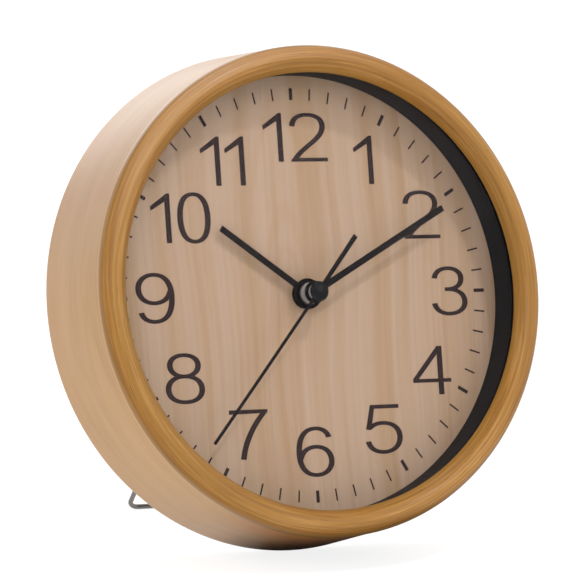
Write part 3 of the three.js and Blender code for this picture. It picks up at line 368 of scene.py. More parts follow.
class Look(Nodes):
    """A procedural material in the clock frame's millimetres."""

    def __init__(self, name, roughness, metallic=0.0):
        self.material = bpy.data.materials.new(name)
        self.material.use_nodes = True
        super().__init__(self.material.node_tree)
        self.shader = self.tree.nodes["Principled BSDF"]
        self.set(Roughness=roughness, Metallic=metallic)

    def set(self, **sockets):
        for name, value in sockets.items():
            self.shader.inputs[name.replace("_", " ")].default_value = value

    def clock_point(self):
        """Where a point is in the clock frame, in millimetres."""
        sockets = {
            "Vector": self.node("ShaderNodeTexCoord").outputs["Object"],
            "Location": CLOCK.translation,
            "Rotation": LEAN_TURN,
            "Scale": (MM, MM, MM),
        }
        return self.node("ShaderNodeMapping", sockets, vector_type="TEXTURE").outputs[0]

    def noise(self, vector, detail, rough, w=None, scale=1.0, warp=0.0):
        sockets = {"Vector": vector, "Scale": scale, "Detail": detail}
        sockets.update({"Roughness": rough, "Distortion": warp})
        if w is not None:
            sockets["W"] = w
        size = "3D" if w is None else "4D"
        return self.node("ShaderNodeTexNoise", sockets, noise_dimensions=size).outputs[0]

    def ramp(self, share, stops):
        """A run of colours; each stop is a position, red, green and blue."""
        made = self.node("ShaderNodeValToRGB", {0: share})
        bar = made.color_ramp.elements
        tones = [(position, srgb(*colour)) for position, *colour in stops]
        bar[0].position, bar[0].color = tones[0]
        bar[1].position, bar[1].color = tones[-1]
        for position, colour in tones[1:-1]:
            bar.new(position).color = colour
        return made.outputs[0]

    def mix(self, share, first, second, blend="MIX"):
        sockets = {0: share, 6: first, 7: second}
        return self.node("ShaderNodeMix", sockets, data_type="RGBA", blend_type=blend).outputs[2]

    def stained(self, base, stains):
        """A colour with others laid over it in turn, each by its own share."""
        for share, colour in stains:
            base = self.mix(share, base, colour)
        return base

    def cloudy(self, tone, change, scale):
        """A tone that drifts darker in soft clouds."""
        colour = srgb(*tone)
        dark = (*(channel * (1 - 2 * change) for channel in colour[:3]), 1.0)
        cloud = self.noise(self.clock_point(), 2, 0.5, scale=scale)
        return self.mix(self.span(cloud, 0.3, 0.7), dark, colour)

    def finish(self, colour, roughness, relief, depth):
        """Sets colour, roughness and a relief of 0 to 1 over a depth in millimetres."""
        bump = self.node("ShaderNodeBump", {"Height": relief, "Distance": depth * MM, "Strength": 1.0})
        ends = {"Base Color": colour, "Roughness": roughness, "Normal": bump.outputs[0]}
        for name, value in ends.items():
            self.fill(self.shader.inputs[name], value)
        return self.material

    def show(self, shader):
        """Puts another shader in the place of the standard one."""
        self.fill(self.tree.nodes["Material Output"].inputs["Surface"], shader.outputs[0])
        self.tree.nodes.remove(self.shader)
        return self.material


def round_grain(look, along, across):
    """Coordinates in which the grain runs round the case: long round it, short across."""
    x, y, z = look.split(look.clock_point())
    radius = look.length(x, y)
    cos = look.times(look.math("DIVIDE", x, radius), along)
    sin = look.times(look.math("DIVIDE", y, radius), along)
    return look.join(cos, sin, look.times(z, across)), look.times(radius, across)


def round_turn(look, x, y):
    """How far round the case a point is: 0 and 1 at 9 o'clock, 0.25 at 6, 0.5 at 3, 0.75 at 12."""
    return look.span(look.math("ARCTAN2", y, x), -math.pi, math.pi)


# Tones of the pale veneer round the case: darkest at its bottom, where the shade near the floor is painted,
# and paler and pinker at its upper left, where a sheen is painted
MAPLE_TONES_AND_PAINTED_LIGHT = [
    (0.0, 205, 164, 120), (0.07, 209, 167, 118), (0.16, 214, 174, 127), (0.195, 212, 174, 132),
    (0.215, 188, 144, 98), (0.25, 166, 100, 50), (0.275, 174, 112, 60), (0.31, 205, 162, 116),
    (0.62, 209, 172, 128), (0.82, 212, 184, 160), (0.88, 204, 174, 148), (0.93, 198, 164, 134),
    (0.96, 202, 166, 130), (1.0, 205, 164, 121),
]
# The stretch of the case's bottom that gets a painted shade near the floor: where it starts, is full, fades
# and ends
PAINTED_SHADE_STRETCH = (0.155, 0.2, 0.27, 0.32)


def maple_wood():
    """Pale bent veneer: faint grain round the drum, browner and darker towards both edges, with a painted
    shade at the bottom and a painted sheen at the upper left.
    """
    look = Look("maple_round", 0.42)
    warm, rear_tone, rear_edge = srgb(208, 168, 134), srgb(194, 142, 92), srgb(122, 86, 58)
    joint_tone, painted_shade_tone = srgb(176, 130, 76), srgb(180, 116, 56)
    grain_tones = [(0.3, 230, 225, 218), (0.5, 246, 244, 241), (0.68, 255, 255, 255)]
    broad, broad_w = round_grain(look, 1.6, 0.16)
    fine, fine_w = round_grain(look, 4.5, 1.3)
    bands = look.noise(broad, 3, 0.55, broad_w, warp=0.3)
    fibres = look.noise(fine, 4, 0.6, fine_w)
    tint = look.noise(broad, 1, 0.5, broad_w, scale=0.45)
    x, y, z = look.split(look.clock_point())
    turn = round_turn(look, x, y)
    wood = look.mix(look.span(tint, 0.35, 0.65, 0.0, 0.25), look.ramp(turn, MAPLE_TONES_AND_PAINTED_LIGHT), warm)
    wood = look.mix(1.0, wood, look.ramp(look.blend(0.6, bands, fibres), grain_tones), "MULTIPLY")
    # Painted shade on the drum's bottom near the floor, strongest towards the front.
    low = look.times(look.between(turn, *PAINTED_SHADE_STRETCH), look.span(z, -5.0, 8.0, 0.0, 0.85))
    stains = [
        (look.span(z, -8.0, CASE_REAR_Z + 2.0, 0.0, 0.3), rear_tone),
        (look.span(z, CASE_REAR_Z + 1.6, CASE_REAR_Z + 0.4, 0.0, 0.6), rear_edge),
        (look.span(z, CASE_JOINT_Z - 1.1, CASE_JOINT_Z, 0.0, 0.25), joint_tone),
        (low, painted_shade_tone),
    ]
    look.set(Specular_IOR_Level=0.3, Coat_Weight=0.12, Coat_Roughness=0.3)
    roughness = look.span(fibres, 0.2, 0.8, 0.36, 0.5)
    return look.finish(look.stained(wood, stains), roughness, fibres, 0.015)


def oak_wood():
    """Lacquered golden wood of the bezel: fine dark streaks round it, with a painted highlight at the upper
    left and along the crest, and a painted shade on the outer wall.
    """
    look = Look("oak_ring", 0.4)
    streak_tones = [(0.3, 114, 71, 25), (0.4, 146, 97, 39), (0.52, 173, 120, 53), (0.66, 203, 154, 91)]
    olive, pore_tone, painted_highlight_tone = srgb(164, 122, 54), srgb(98, 60, 22), srgb(206, 164, 126)
    wall_painted_shade, crest_painted_highlight = srgb(144, 102, 36), srgb(212, 166, 108)
    broad, broad_w = round_grain(look, 1.3, 0.42)
    fine, fine_w = round_grain(look, 2.6, 1.7)
    pore, pore_w = round_grain(look, 11.0, 3.0)
    bands = look.noise(broad, 3, 0.55, broad_w, warp=0.4)
    streaks = look.noise(fine, 3, 0.65, fine_w)
    tint = look.noise(broad, 1, 0.5, broad_w, scale=0.6)
    pores = look.span(look.noise(pore, 2, 0.5, pore_w), 0.64, 0.72)
    x, y, z = look.split(look.clock_point())
    turn = round_turn(look, x, y)
    outer = look.span(look.length(x, y), 70.6, 72.0, 0.0, 0.4)
    # Painted highlight on the upper left of the bezel's round, towards its outer part.
    painted_highlight = look.times(look.between(turn, 0.68, 0.8, 0.9, 0.97), look.span(z, 14.6, 16.4))
    beside_painted_shade = look.minus(1.0, look.between(turn, *PAINTED_SHADE_STRETCH))
    drum_tone = look.ramp(turn, MAPLE_TONES_AND_PAINTED_LIGHT)
    stains = [
        (look.span(tint, 0.42, 0.62, 0.0, 0.35), olive),
        (look.times(pores, 0.5), pore_tone),
        (look.times(painted_highlight, outer), painted_highlight_tone),
        # Painted shade on the bezel's outer wall, darkest low on the wall.
        (look.span(z, 15.4, 13.6, 0.0, 0.55), wall_painted_shade),
        # Painted highlight along the crest.
        (look.span(z, 16.2, 17.1, 0.0, 0.12), crest_painted_highlight),
        # The bezel's rear edge takes the drum's tones, with their painted sheen at the upper left, except in
        # the stretch of painted shade at the bottom.
        (look.times(beside_painted_shade, look.span(z, CASE_JOINT_Z + 1.8, CASE_JOINT_Z + 0.5)), drum_tone),
    ]
    wood = look.stained(look.ramp(look.blend(0.4, bands, streaks), streak_tones), stains)
    look.set(Specular_IOR_Level=0.2, Coat_Weight=0.08, Coat_Roughness=0.2)
    relief = look.minus(streaks, look.times(pores, 0.8))
    return look.finish(wood, look.span(streaks, 0.2, 0.8, 0.28, 0.42), relief, 0.02)


def upright_grain(look, x, y, across, along, detail, rough):
    """Noise that changes fast across the dial and slowly up it."""
    return look.noise(look.join(look.times(x, across), look.times(y, along)), detail, rough)


def dial_wood():
    """Printed maple of the dial: straight soft grain, upright bands and a faint pointed figure."""
    look = Look("dial_maple", 0.62)
    shade, light = srgb(191, 158, 126), srgb(200, 170, 145)
    vein_tone, fleck_tone = srgb(190, 146, 106), srgb(140, 104, 74)
    grain_tones = [(0.32, 245, 240, 235), (0.5, 251, 249, 247), (0.64, 255, 255, 255)]
    x, y, _ = look.split(look.clock_point())
    drift = upright_grain(look, x, y, 0.02, 0.012, 1, 0.5)
    side = look.plus(x, look.span(drift, 0.2, 0.8, -2.5, 2.5))
    bands = upright_grain(look, side, y, 0.09, 0.002, 2, 0.6)
    fine = upright_grain(look, side, y, 0.6, 0.008, 3, 0.6)
    fleck = upright_grain(look, x, y, 3.2, 0.13, 3, 0.55)
    # The pointed figure is cut from long ovals round a place left of and below the middle.
    centre = look.plus(side, 6.0)
    oval = look.length(centre, look.times(look.plus(y, 30.0), 0.16))
    figure = look.noise(look.join(look.times(oval, 0.4), 0.0), 2, 0.6)
    inside = look.span(look.math("ABSOLUTE", centre), 16.0, 8.0)
    wood = look.mix(look.span(bands, 0.40, 0.56), shade, light)
    wood = look.mix(1.0, wood, look.ramp(fine, grain_tones), "MULTIPLY")
    stains = [
        (look.times(look.span(figure, 0.5, 0.56, 0.0, 0.22), inside), vein_tone),
        (look.span(fleck, 0.58, 0.74, 0.0, 0.14), fleck_tone),
    ]
    return look.finish(look.stained(wood, stains), look.span(fleck, 0.2, 0.8, 0.55, 0.7), fleck, 0.008)


def plastic(name, tone, roughness=0.45, change=0.06, depth=0.02, grain=2.2, shine=0.5):
    """Moulded plastic: a fine spark-eroded grain, and a colour and gloss that vary a little."""
    look = Look(name, roughness)
    look.set(Specular_IOR_Level=shine)
    skin = look.noise(look.clock_point(), 3, 0.6, scale=grain)
    gloss = look.span(skin, 0.25, 0.75, roughness - 0.07, roughness + 0.07)
    return look.finish(look.cloudy(tone, change, 0.11), gloss, skin, depth)


def metal(name, tone, roughness=0.3, depth=0.004, stretch=(0.6, 0.6, 4.0), change=0.08):
    """Bare metal with fine drawn lines and a gloss that varies a little."""
    look = Look(name, roughness, 1.0)
    axes = look.split(look.clock_point())
    drawn = look.join(*(look.times(axis, factor) for axis, factor in zip(axes, stretch)))
    lines = look.noise(drawn, 4, 0.65)
    gloss = look.span(lines, 0.25, 0.75, roughness - 0.08, roughness + 0.08)
    return look.finish(look.cloudy(tone, change, 0.12), gloss, lines, depth)


def satin_collar():
    """Satin metal of the hub sleeves, dark in the corner at the foot of the lower one."""
    look = Look("collar_satin", 0.3)
    point = look.clock_point()
    specks = look.noise(point, 2, 0.5, scale=5.0)
    bright = look.mix(specks, srgb(164, 160, 158), srgb(176, 172, 170))
    foot = look.span(look.split(point)[2], 4.5, 3.4)
    colour = look.mix(foot, bright, srgb(34, 32, 33))
    return look.finish(colour, look.span(specks, 0.2, 0.8, 0.26, 0.36), specks, 0.003)


LENS_IOR, LENS_SHINE = 1.49, 0.05


def clear_pane():
    """Clear acrylic: see-through, with a weak reflection that grows at a glance."""
    look = Look("lens_clear", 0.03)
    haze = look.noise(look.clock_point(), 2, 0.5, scale=0.05)
    gloss = look.node("ShaderNodeBsdfGlossy", {"Roughness": look.span(haze, 0.3, 0.7, 0.02, 0.05)})
    through = look.node("ShaderNodeBsdfTransparent")
    share = look.times(look.node("ShaderNodeFresnel", {"IOR": LENS_IOR}).outputs[0], LENS_SHINE)
    sockets = {0: share, 1: through.outputs[0], 2: gloss.outputs[0]}
    return look.show(look.node("ShaderNodeMixShader", sockets))


LOOKS = {
    "maple": maple_wood(),
    "oak": oak_wood(),
    "dial": dial_wood(),
    "lens": clear_pane(),
    "ink": plastic("dial_ink", (62, 50, 50), 0.6, 0.1, 0.004, 4.0, 0.08),
    "ring": plastic("ring_black", (28, 29, 35), 0.5, shine=0.12),
    "hand": plastic("hand_black", (33, 28, 29), 0.5, 0.08, 0.004, 5.0, 0.1),
    "cap": plastic("cap_black", (18, 18, 22), 0.16, 0.08, 0.002, shine=0.15),
    "collar": satin_collar(),
    "board": plastic("board_brown", (118, 96, 74), 0.85, 0.14, 0.05, 1.2),
    "rubber": plastic("gasket_black", (40, 40, 40), 0.9),
    "brass": metal("brass_turned", (196, 164, 100), 0.34),
    "gear": plastic("gear_white", (232, 228, 216), 0.42, 0.03),
    "knob": plastic("knob_grey", (206, 203, 196), 0.45, 0.04),
    "steel": metal("steel_stamped", (186, 188, 190), 0.32),
    "spring": metal("contact_nickel", (206, 205, 200), 0.25),
    "copper": metal("copper_wound", (184, 104, 58), 0.36, 0.05, (9.0, 0.4, 0.4)),
    "circuit": plastic("circuit_green", (44, 88, 56), 0.55, 0.12),
    "movement": plastic("movement_black", (36, 36, 38), 0.5),
    "cover": plastic("cover_white", (222, 219, 210), 0.5, 0.015, 0.012, 5.0),
    "jacket": plastic("cell_blue", (48, 96, 120), 0.3, 0.05, 0.004),
    "band": plastic("cell_band", (190, 150, 84), 0.3, 0.05, 0.004),
    "chrome": metal("stand_nickel", (122, 118, 116), 0.13, 0.003),
    "screw": metal("screw_zinc", (196, 194, 188), 0.3),
}

# The look of each CAD node that stays as it is
CAD_LOOKS = {
    "board": ["dial_plate"],
    "rubber": ["rubber_gasket"],
    "brass": ["threaded_bush", "centre_wheel"],
    "hand": ["bush_nut"],
    "gear": [
        "hour_wheel", "minute_arbor", "minute_wheel", "third_wheel", "second_wheel",
        "intermediate_wheel", "coil_bobbin", "train_plate",
    ],
    "steel": ["rotor", "stator", "coil_core"],
    "copper": ["coil_winding"],
    "circuit": ["circuit_board"],
    "spring": ["quartz_crystal", "contact_negative", "contact_positive"],
    "movement": ["movement_housing", "movement_cover"],
}
ROUNDED_NODES = ["bush_nut", "movement_housing", "movement_cover", "contact_negative", "contact_positive"]
WELD_GAP, SOFT_EDGE, SOFT_ANGLE = 0.002, 0.15, 40


def dress_nodes():
    """Gives each carried-over CAD node its material, and the seen ones softened edges."""
    for look, names in CAD_LOOKS.items():
        for name in names:
            for held in frame["nodes"][name].material_slots:
                held.material = LOOKS[look]
    for name in ROUNDED_NODES:
        modifiers = frame["nodes"][name].modifiers
        weld = modifiers.new("weld", "WELD")
        weld.merge_threshold = WELD_GAP * MM
        soft = modifiers.new("soft_edges", "BEVEL")
        soft.width = SOFT_EDGE * MM
        soft.segments = 2
        soft.limit_method = "ANGLE"
        soft.angle_limit = math.radians(SOFT_ANGLE)
        soft.use_clamp_overlap = True


# Case


def case_drum():
    rear, front = REAR_EDGE_ROUND, FRONT_EDGE_ROUND
    mouth, shoulder = COVER_RADIUS + COVER_GAP, CASE_FRONT_RADIUS - JOINT_STEP_WIDTH
    radii = [shoulder, DRUM_BORE_RADIUS, DIAL_SEAT_RADIUS, DRUM_ROOM_RADIUS, COVER_SEAT_RADIUS, mouth]
    dial_seat = [DIAL_SEAT_Z, DIAL_SEAT_Z - DIAL_SEAT_THICKNESS]
    cover_seat = [COVER_SEAT_Z + COVER_SEAT_THICKNESS, COVER_SEAT_Z]
    profile = [
        (mouth, CASE_REAR_Z + REAR_CHAMFER),
        (mouth + REAR_CHAMFER, CASE_REAR_Z),
        *arc(CASE_REAR_RADIUS - rear, CASE_REAR_Z + rear, rear, rear, -90, 0, 12),
        *arc(CASE_FRONT_RADIUS - front, CASE_JOINT_Z - front, front, front, 5, 80, 6),
        *stairs(radii, [CASE_JOINT_Z - JOINT_STEP, *dial_seat, *cover_seat]),
    ]
    lathe("drum_body", profile, "case", "maple_case", "maple", ["case_drum"], SEGMENTS)


def front_bezel():
    crest, crest_z = CASE_FRONT_RADIUS - BEZEL_ROUND, BEZEL_WALL_Z + BEZEL_RISE
    reach, fall = crest - BEZEL_LIP_RADIUS, crest_z - BEZEL_LIP_Z
    # The inner face falls from the crest to the lip, steeper and steeper.
    shares = [(step + 1) / BEZEL_FACE_STEPS for step in range(BEZEL_FACE_STEPS)]
    foot, skirt = CASE_FRONT_RADIUS - BEZEL_CHAMFER, DRUM_BORE_RADIUS - SEAT_GAP
    levels = [BEZEL_LIP_Z - BEZEL_LIP_THICKNESS, BEZEL_SKIRT_REAR_Z, CASE_JOINT_Z]
    profile = [
        (CASE_FRONT_RADIUS, CASE_JOINT_Z + BEZEL_CHAMFER),
        *arc(crest, BEZEL_WALL_Z, BEZEL_ROUND, BEZEL_RISE, 0, 90, 20),
        *[(crest - share * reach, crest_z - share**2 * fall) for share in shares],
        *stairs([BEZEL_LIP_RADIUS + BEZEL_LIP_SLOPE, LENS_REBATE_RADIUS, skirt, foot], levels),
    ]
    lathe("bezel_ring", profile, "case", "oak_bezel", "oak", ["front_bezel"], SEGMENTS)


def lens():
    low, high, rim, edge = LENS_REAR_Z, LENS_FRONT_Z, LENS_RADIUS, LENS_EDGE
    side = [(rim - edge, low), (rim, low + edge), (rim, high - edge), (rim - edge, high)]
    profile = [(0, low), *side, (0, high)]
    lathe("lens_pane", profile, "case", "clear_lens", "lens", ["lens"], 128, closed=False)


def rehaut():
    radii = [DIAL_SEEN_RADIUS, RING_RADIUS, RING_STEP_RADIUS, RING_MOUTH_RADIUS]
    profile = [
        *stairs(radii, [RING_REAR_Z, RING_FRONT_Z, RING_STEP_Z]),
        (RING_MOUTH_RADIUS - RING_EDGE, RING_STEP_Z - RING_EDGE),
    ]
    lathe("rehaut_wall", profile, "case", "black_ring", "ring", ["rehaut_ring"], SEGMENTS)


def dial():
    shell = Shell()
    shell.plate(circle(DIAL_RADIUS * RIM_FLAT, 128), [circle(DIAL_HOLE, 48)], -DIAL_THICKNESS, 0.0)
    piece("dial_face", shell, "case", "dial_face", "dial", ["dial"])


# Dial print

INK_LOW, INK_HIGH = -0.02, 0.05
TICK_INNER, TICK_OUTER = 60.3, 64.0
MINUTE_TICK, HOUR_TICK = 0.5, 1.1
MINUTE_TURN = 6


def ticks():
    shell = Shell()
    for minute in range(60):
        half = (MINUTE_TICK if minute % 5 else HOUR_TICK) / 2
        bar = [(-half, TICK_INNER), (half, TICK_INNER), (half, TICK_OUTER), (-half, TICK_OUTER)]
        shell.plate(turned(bar, minute * MINUTE_TURN), [], INK_LOW, INK_HIGH)
    piece("dial_ticks", shell, "case", "black_hands", "ink")


NUMERAL_HEIGHT = 15.13
# The pen's width, in heights of a figure, and how much wider it draws uprights than levels
PEN_HEIGHT, PEN_STRETCH = 0.078, 1.64
# A line whose ends are nearer than this is a closed one.
SAME_POINT = 1e-6

# Where a loop's points lie among its five columns and rows, from the middle of its top
LOOP_PATH = [
    (2, 4), (1, 4), (0, 3), (0, 2), (0, 1), (1, 0), (2, 0), (3, 0), (4, 1), (4, 2), (4, 3), (3, 4), (2, 4),
]


def loop(columns, rows):
    """Four cubic curves that close a loop."""
    return [(columns[across], rows[up]) for across, up in LOOP_PATH]


# Centre lines of the figures, in thousandths of a figure's height: a start, then cubic curves of
# three points each. A straight run repeats its ends.
FIGURE_LINES = {
    "0": [loop((0, 100, 310, 520, 620), (20, 200, 500, 800, 980))],
    "2": [
        [(0, 725), (10, 870), (130, 962), (350, 962), (570, 962), (700, 870), (700, 735), (700, 600),
         (600, 500), (420, 375), (200, 225), (100, 150), (30, 45)],
    ],
    "3": [
        [(30, 765), (60, 900), (180, 972), (360, 972), (540, 972), (665, 885), (665, 765), (665, 630),
         (550, 537), (330, 537), (310, 537), (280, 537), (265, 537)],
        [(330, 537), (580, 537), (725, 430), (725, 280), (725, 125), (570, 28), (350, 28), (160, 28),
         (30, 110), (0, 250)],
    ],
    "5": [
        [(45, 520), (120, 585), (220, 625), (360, 625), (600, 625), (745, 510), (745, 335), (745, 150),
         (580, 30), (360, 30), (160, 30), (30, 110), (0, 255)],
    ],
    "6": [
        [(700, 785), (670, 900), (560, 972), (400, 972), (130, 972), (0, 780), (0, 470), (0, 190),
         (130, 28), (385, 28), (590, 28), (735, 150), (735, 310), (735, 480), (600, 600), (390, 600),
         (200, 600), (60, 500), (30, 360)],
    ],
    "7": [
        [(715, 935), (470, 700), (250, 360), (190, 0)],
    ],
    "8": [
        loop((60, 180, 375, 570, 690), (545, 640, 765, 885, 972)),
        loop((0, 140, 375, 610, 750), (28, 130, 285, 440, 545)),
    ],
}
# Straight parts of the figures, as outlines in the same measure
FIGURE_BARS = {
    "1": [
        [(449, 1000), (379, 1000), (0, 745), (15, 657), (330, 835), (330, 0), (449, 0)],
    ],
    "2": [
        [(-69, 0), (783, 0), (783, 77), (45, 77), (-55, 50)],
    ],
    "4": [
        [(595, 1000), (721, 1000), (721, 0), (595, 0)],
        [(0, 253), (902, 253), (902, 330), (0, 330)],
        [(0, 330), (138, 330), (603, 838), (603, 1000)],
    ],
    "5": [
        [(90, 1000), (755, 1000), (755, 920), (90, 920)],
        [(90, 1000), (200, 1000), (100, 545), (75, 487), (-35, 500)],
    ],
    "7": [
        [(-75, 1000), (800, 1000), (795, 925), (-75, 912)],
    ],
}
# Each figure's middle on the dial, in millimetres
FIGURE_PLACES = [
    ("1", -7.26, 48.7), ("2", 5.08, 48.7), ("1", 23.98, 41.5), ("2", 43.24, 24.2), ("3", 51.4, 0.0),
    ("4", 43.1, -24.7), ("5", 24.6, -42.3), ("6", 0.13, -48.4), ("7", -22.0, -42.3), ("8", -42.8, -24.6),
    ("9", -50.9, 0.0), ("1", -47.4, 24.2), ("0", -36.1, 24.2), ("1", -29.3, 41.5), ("1", -20.9, 41.5),
]


def curve_points(line, steps=9):
    """Points along a chain of cubic curves."""
    points = [line[0]]
    for index in range(0, len(line) - 1, 3):
        p0, p1, p2, p3 = (Vector(point) for point in line[index:index + 4])
        for step in range(1, steps + 1):
            t = step / steps
            s = 1 - t
            point = p0 * s**3 + p1 * 3 * s * s * t + p2 * 3 * s * t * t + p3 * t**3
            points.append((point.x, point.y))
    return points


def pen_quads(points):
    """Quads of a flat pen drawn along points: wide where it runs upright, thin where level."""
    flat = [Vector((x / PEN_STRETCH, y)) for x, y in points]
    last = len(flat) - 1
    closed = (flat[0] - flat[last]).length < SAME_POINT
    edges = []
    for index, point in enumerate(flat):
        before = flat[last - 1] if closed and index == 0 else flat[max(index - 1, 0)]
        after = flat[1] if closed and index == last else flat[min(index + 1, last)]
        along = (after - before).normalized()
        across = Vector((-along.y, along.x)) * PEN_HEIGHT / 2
        left, right = point + across, point - across
        edges.append(((left.x * PEN_STRETCH, left.y), (right.x * PEN_STRETCH, right.y)))
    return [(a[0], a[1], b[1], b[0]) for a, b in zip(edges, edges[1:])]


def figure_quads(figure):
    """A figure's outlines, centred on its own middle, one height tall."""
    if figure == "9":
        return [[(-x, -y) for x, y in quad] for quad in figure_quads("6")]
    lines, bars = (
        [[(x / 1000, y / 1000) for x, y in run] for run in table.get(figure, [])]
        for table in (FIGURE_LINES, FIGURE_BARS)
    )
    quads = bars
    for line in lines:
        quads += pen_quads(curve_points(line))
    across = [x for quad in quads for x, _ in quad]
    middle = (min(across) + max(across)) / 2
    return [[(x - middle, y - 0.5) for x, y in quad] for quad in quads]


def numerals():
    shell = Shell()
    for figure, x, y in FIGURE_PLACES:
        placed = [
            [(x + NUMERAL_HEIGHT * u, y + NUMERAL_HEIGHT * v) for u, v in quad]
            for quad in figure_quads(figure)
        ]
        shell.strokes(placed, INK_LOW, INK_HIGH)
    piece("dial_numerals", shell, "case", "black_hands", "ink")


# Hands

HAND_EDGE = 0.07
HOUR_BORE, MINUTE_BORE, SECOND_BORE = 2.56, 1.66, 0.56
# Profiles of the turned parts of the hub, as (radius, z)
HOUR_HUB = [
    (HOUR_BORE, 1.9), (4.4, 1.9), (4.5, 2.0), (4.5, 2.4), (4.68, 2.42), (4.75, 2.52), (4.75, 2.72),
    (4.66, 2.84), (4.45, 2.88), (4.3, 2.8), (4.22, 2.66), (3.85, 2.66), (3.78, 2.8), (3.7, 2.88),
    (HOUR_BORE, 2.88),
]
HOUR_SLEEVE = [(HOUR_BORE, 2.92), (3.35, 2.92), (3.35, 5.14), (3.2, 5.3), (HOUR_BORE, 5.3)]
MINUTE_HUB = [
    (MINUTE_BORE, 6.5), (2.95, 6.5), (3.0, 6.55), (3.0, 7.0), (3.4, 7.0), (3.5, 7.08), (3.5, 7.34),
    (3.4, 7.45), (MINUTE_BORE, 7.45),
]
MINUTE_SLEEVE = [(MINUTE_BORE, 7.47), (2.45, 7.47), (2.45, 8.44), (2.33, 8.56), (MINUTE_BORE, 8.56)]
SECOND_CAP = [
    (0.0, 10.3), (SECOND_BORE, 10.3), (SECOND_BORE, 9.75), (3.0, 9.75), (3.1, 9.83), (3.1, 10.08),
    *arc(0, 10.08, 3.1, 0.76, 8, 90, 14),
]
SECOND_ANGLE, SECOND_Z = 220.3, (9.35, 9.7)
SECOND_REACH, SECOND_TAIL, SECOND_BOSS_RADIUS = 59.3, 22.2, 2.5
SECOND_TIP_DROP, SECOND_TAIL_DROP = 1.2, 0.3
NEEDLE_HALF, TAIL_HALF, TAIL_FLARE = 0.475, 0.65, 0.11
NEEDLE_STEPS, TAIL_STEPS = 12, 5


def stamped_hand(unit, angle, width, start, reach, levels, hub, sleeve):
    """A straight blade with softened edges, its turned hub and the bright sleeve in front."""
    half, soft = width / 2, HAND_EDGE
    outer = [(-half, start), (half, start), (half, reach), (-half, reach)]
    inner = [(math.copysign(half - soft, x), min(y, reach - soft)) for x, y in outer]
    shell = Shell()
    shell.plate(turned(outer, angle), [], *levels, (turned(inner, angle), soft))
    rest = f"{unit}s", "black_hands", "hand", [f"{unit}_hand"]
    piece(f"{unit}_blade", shell, *rest)
    lathe(f"{unit}_hub", hub, *rest)
    lathe(f"{unit}_sleeve", sleeve, f"{unit}s", "collar_metal", "collar", [f"{unit}_collar"])


def hour_hand():
    blade = dict(angle=305.9, width=1.95, start=4.2, reach=35.2, levels=(2.4, 2.86))
    stamped_hand("hour", **blade, hub=HOUR_HUB, sleeve=HOUR_SLEEVE)


def minute_hand():
    blade = dict(angle=61.65, width=2.0, start=2.9, reach=53.4, levels=(7.0, 7.43))
    stamped_hand("minute", **blade, hub=MINUTE_HUB, sleeve=MINUTE_SLEEVE)


def second_drop(y):
    """How far the thin second hand bows towards the dial."""
    if y > 0:
        return SECOND_TIP_DROP * (y / SECOND_REACH) ** 2
    return SECOND_TAIL_DROP * (y / SECOND_TAIL) ** 2


def second_hand():
    boss_radius = SECOND_BOSS_RADIUS
    shares = [step / NEEDLE_STEPS for step in range(NEEDLE_STEPS, 0, -1)]
    needle = [(-NEEDLE_HALF, SECOND_REACH * share) for share in shares]
    shares = [(step + 1) / TAIL_STEPS for step in range(TAIL_STEPS)]
    tail = [
        (-TAIL_HALF - TAIL_FLARE * share, -boss_radius - (SECOND_TAIL - boss_radius) * share)
        for share in shares
    ]
    left = [*needle, *arc(0, 0, boss_radius, boss_radius, 101, 255, 20), *tail]
    right = [(-x, y) for x, y in reversed(left)]
    flat = Shell()
    flat.plate([*left, *right], [circle(SECOND_BORE, 24)], *SECOND_Z)
    places = turned([(x, y) for x, y, _ in flat.points], SECOND_ANGLE)
    shell = Shell()
    shell.add([(x, y, z - second_drop(v)) for (x, y), (_, v, z) in zip(places, flat.points)], flat.faces)
    piece("second_needle", shell, "seconds", "black_hands", "hand", ["second_hand"])
    names = "seconds", "black_cap", "cap", ["second_cap"]
    lathe("second_dome", SECOND_CAP, *names, closed=False)


# Back

SCREW_CIRCLE_RADIUS = 68.4
SCREW_PLACES = arc(0, 0, SCREW_CIRCLE_RADIUS, SCREW_CIRCLE_RADIUS, 45, 315, 3)
WELL_RADIUS, WELL_MOUTH_RADIUS, WELL_CHAMFER, WELL_DEPTH = 3.1, 3.25, 0.15, 0.9
SHANK_HOLE_RADIUS, WELL_SIDES = 1.7, 40
WINDOW_HALF, WINDOW_CORNER = 28.5, 3.2
WALL_THICKNESS, WALL_CORNER, WALL_HEIGHT = 1.4, 4.4, 3.2
COVER_EDGE = 0.25


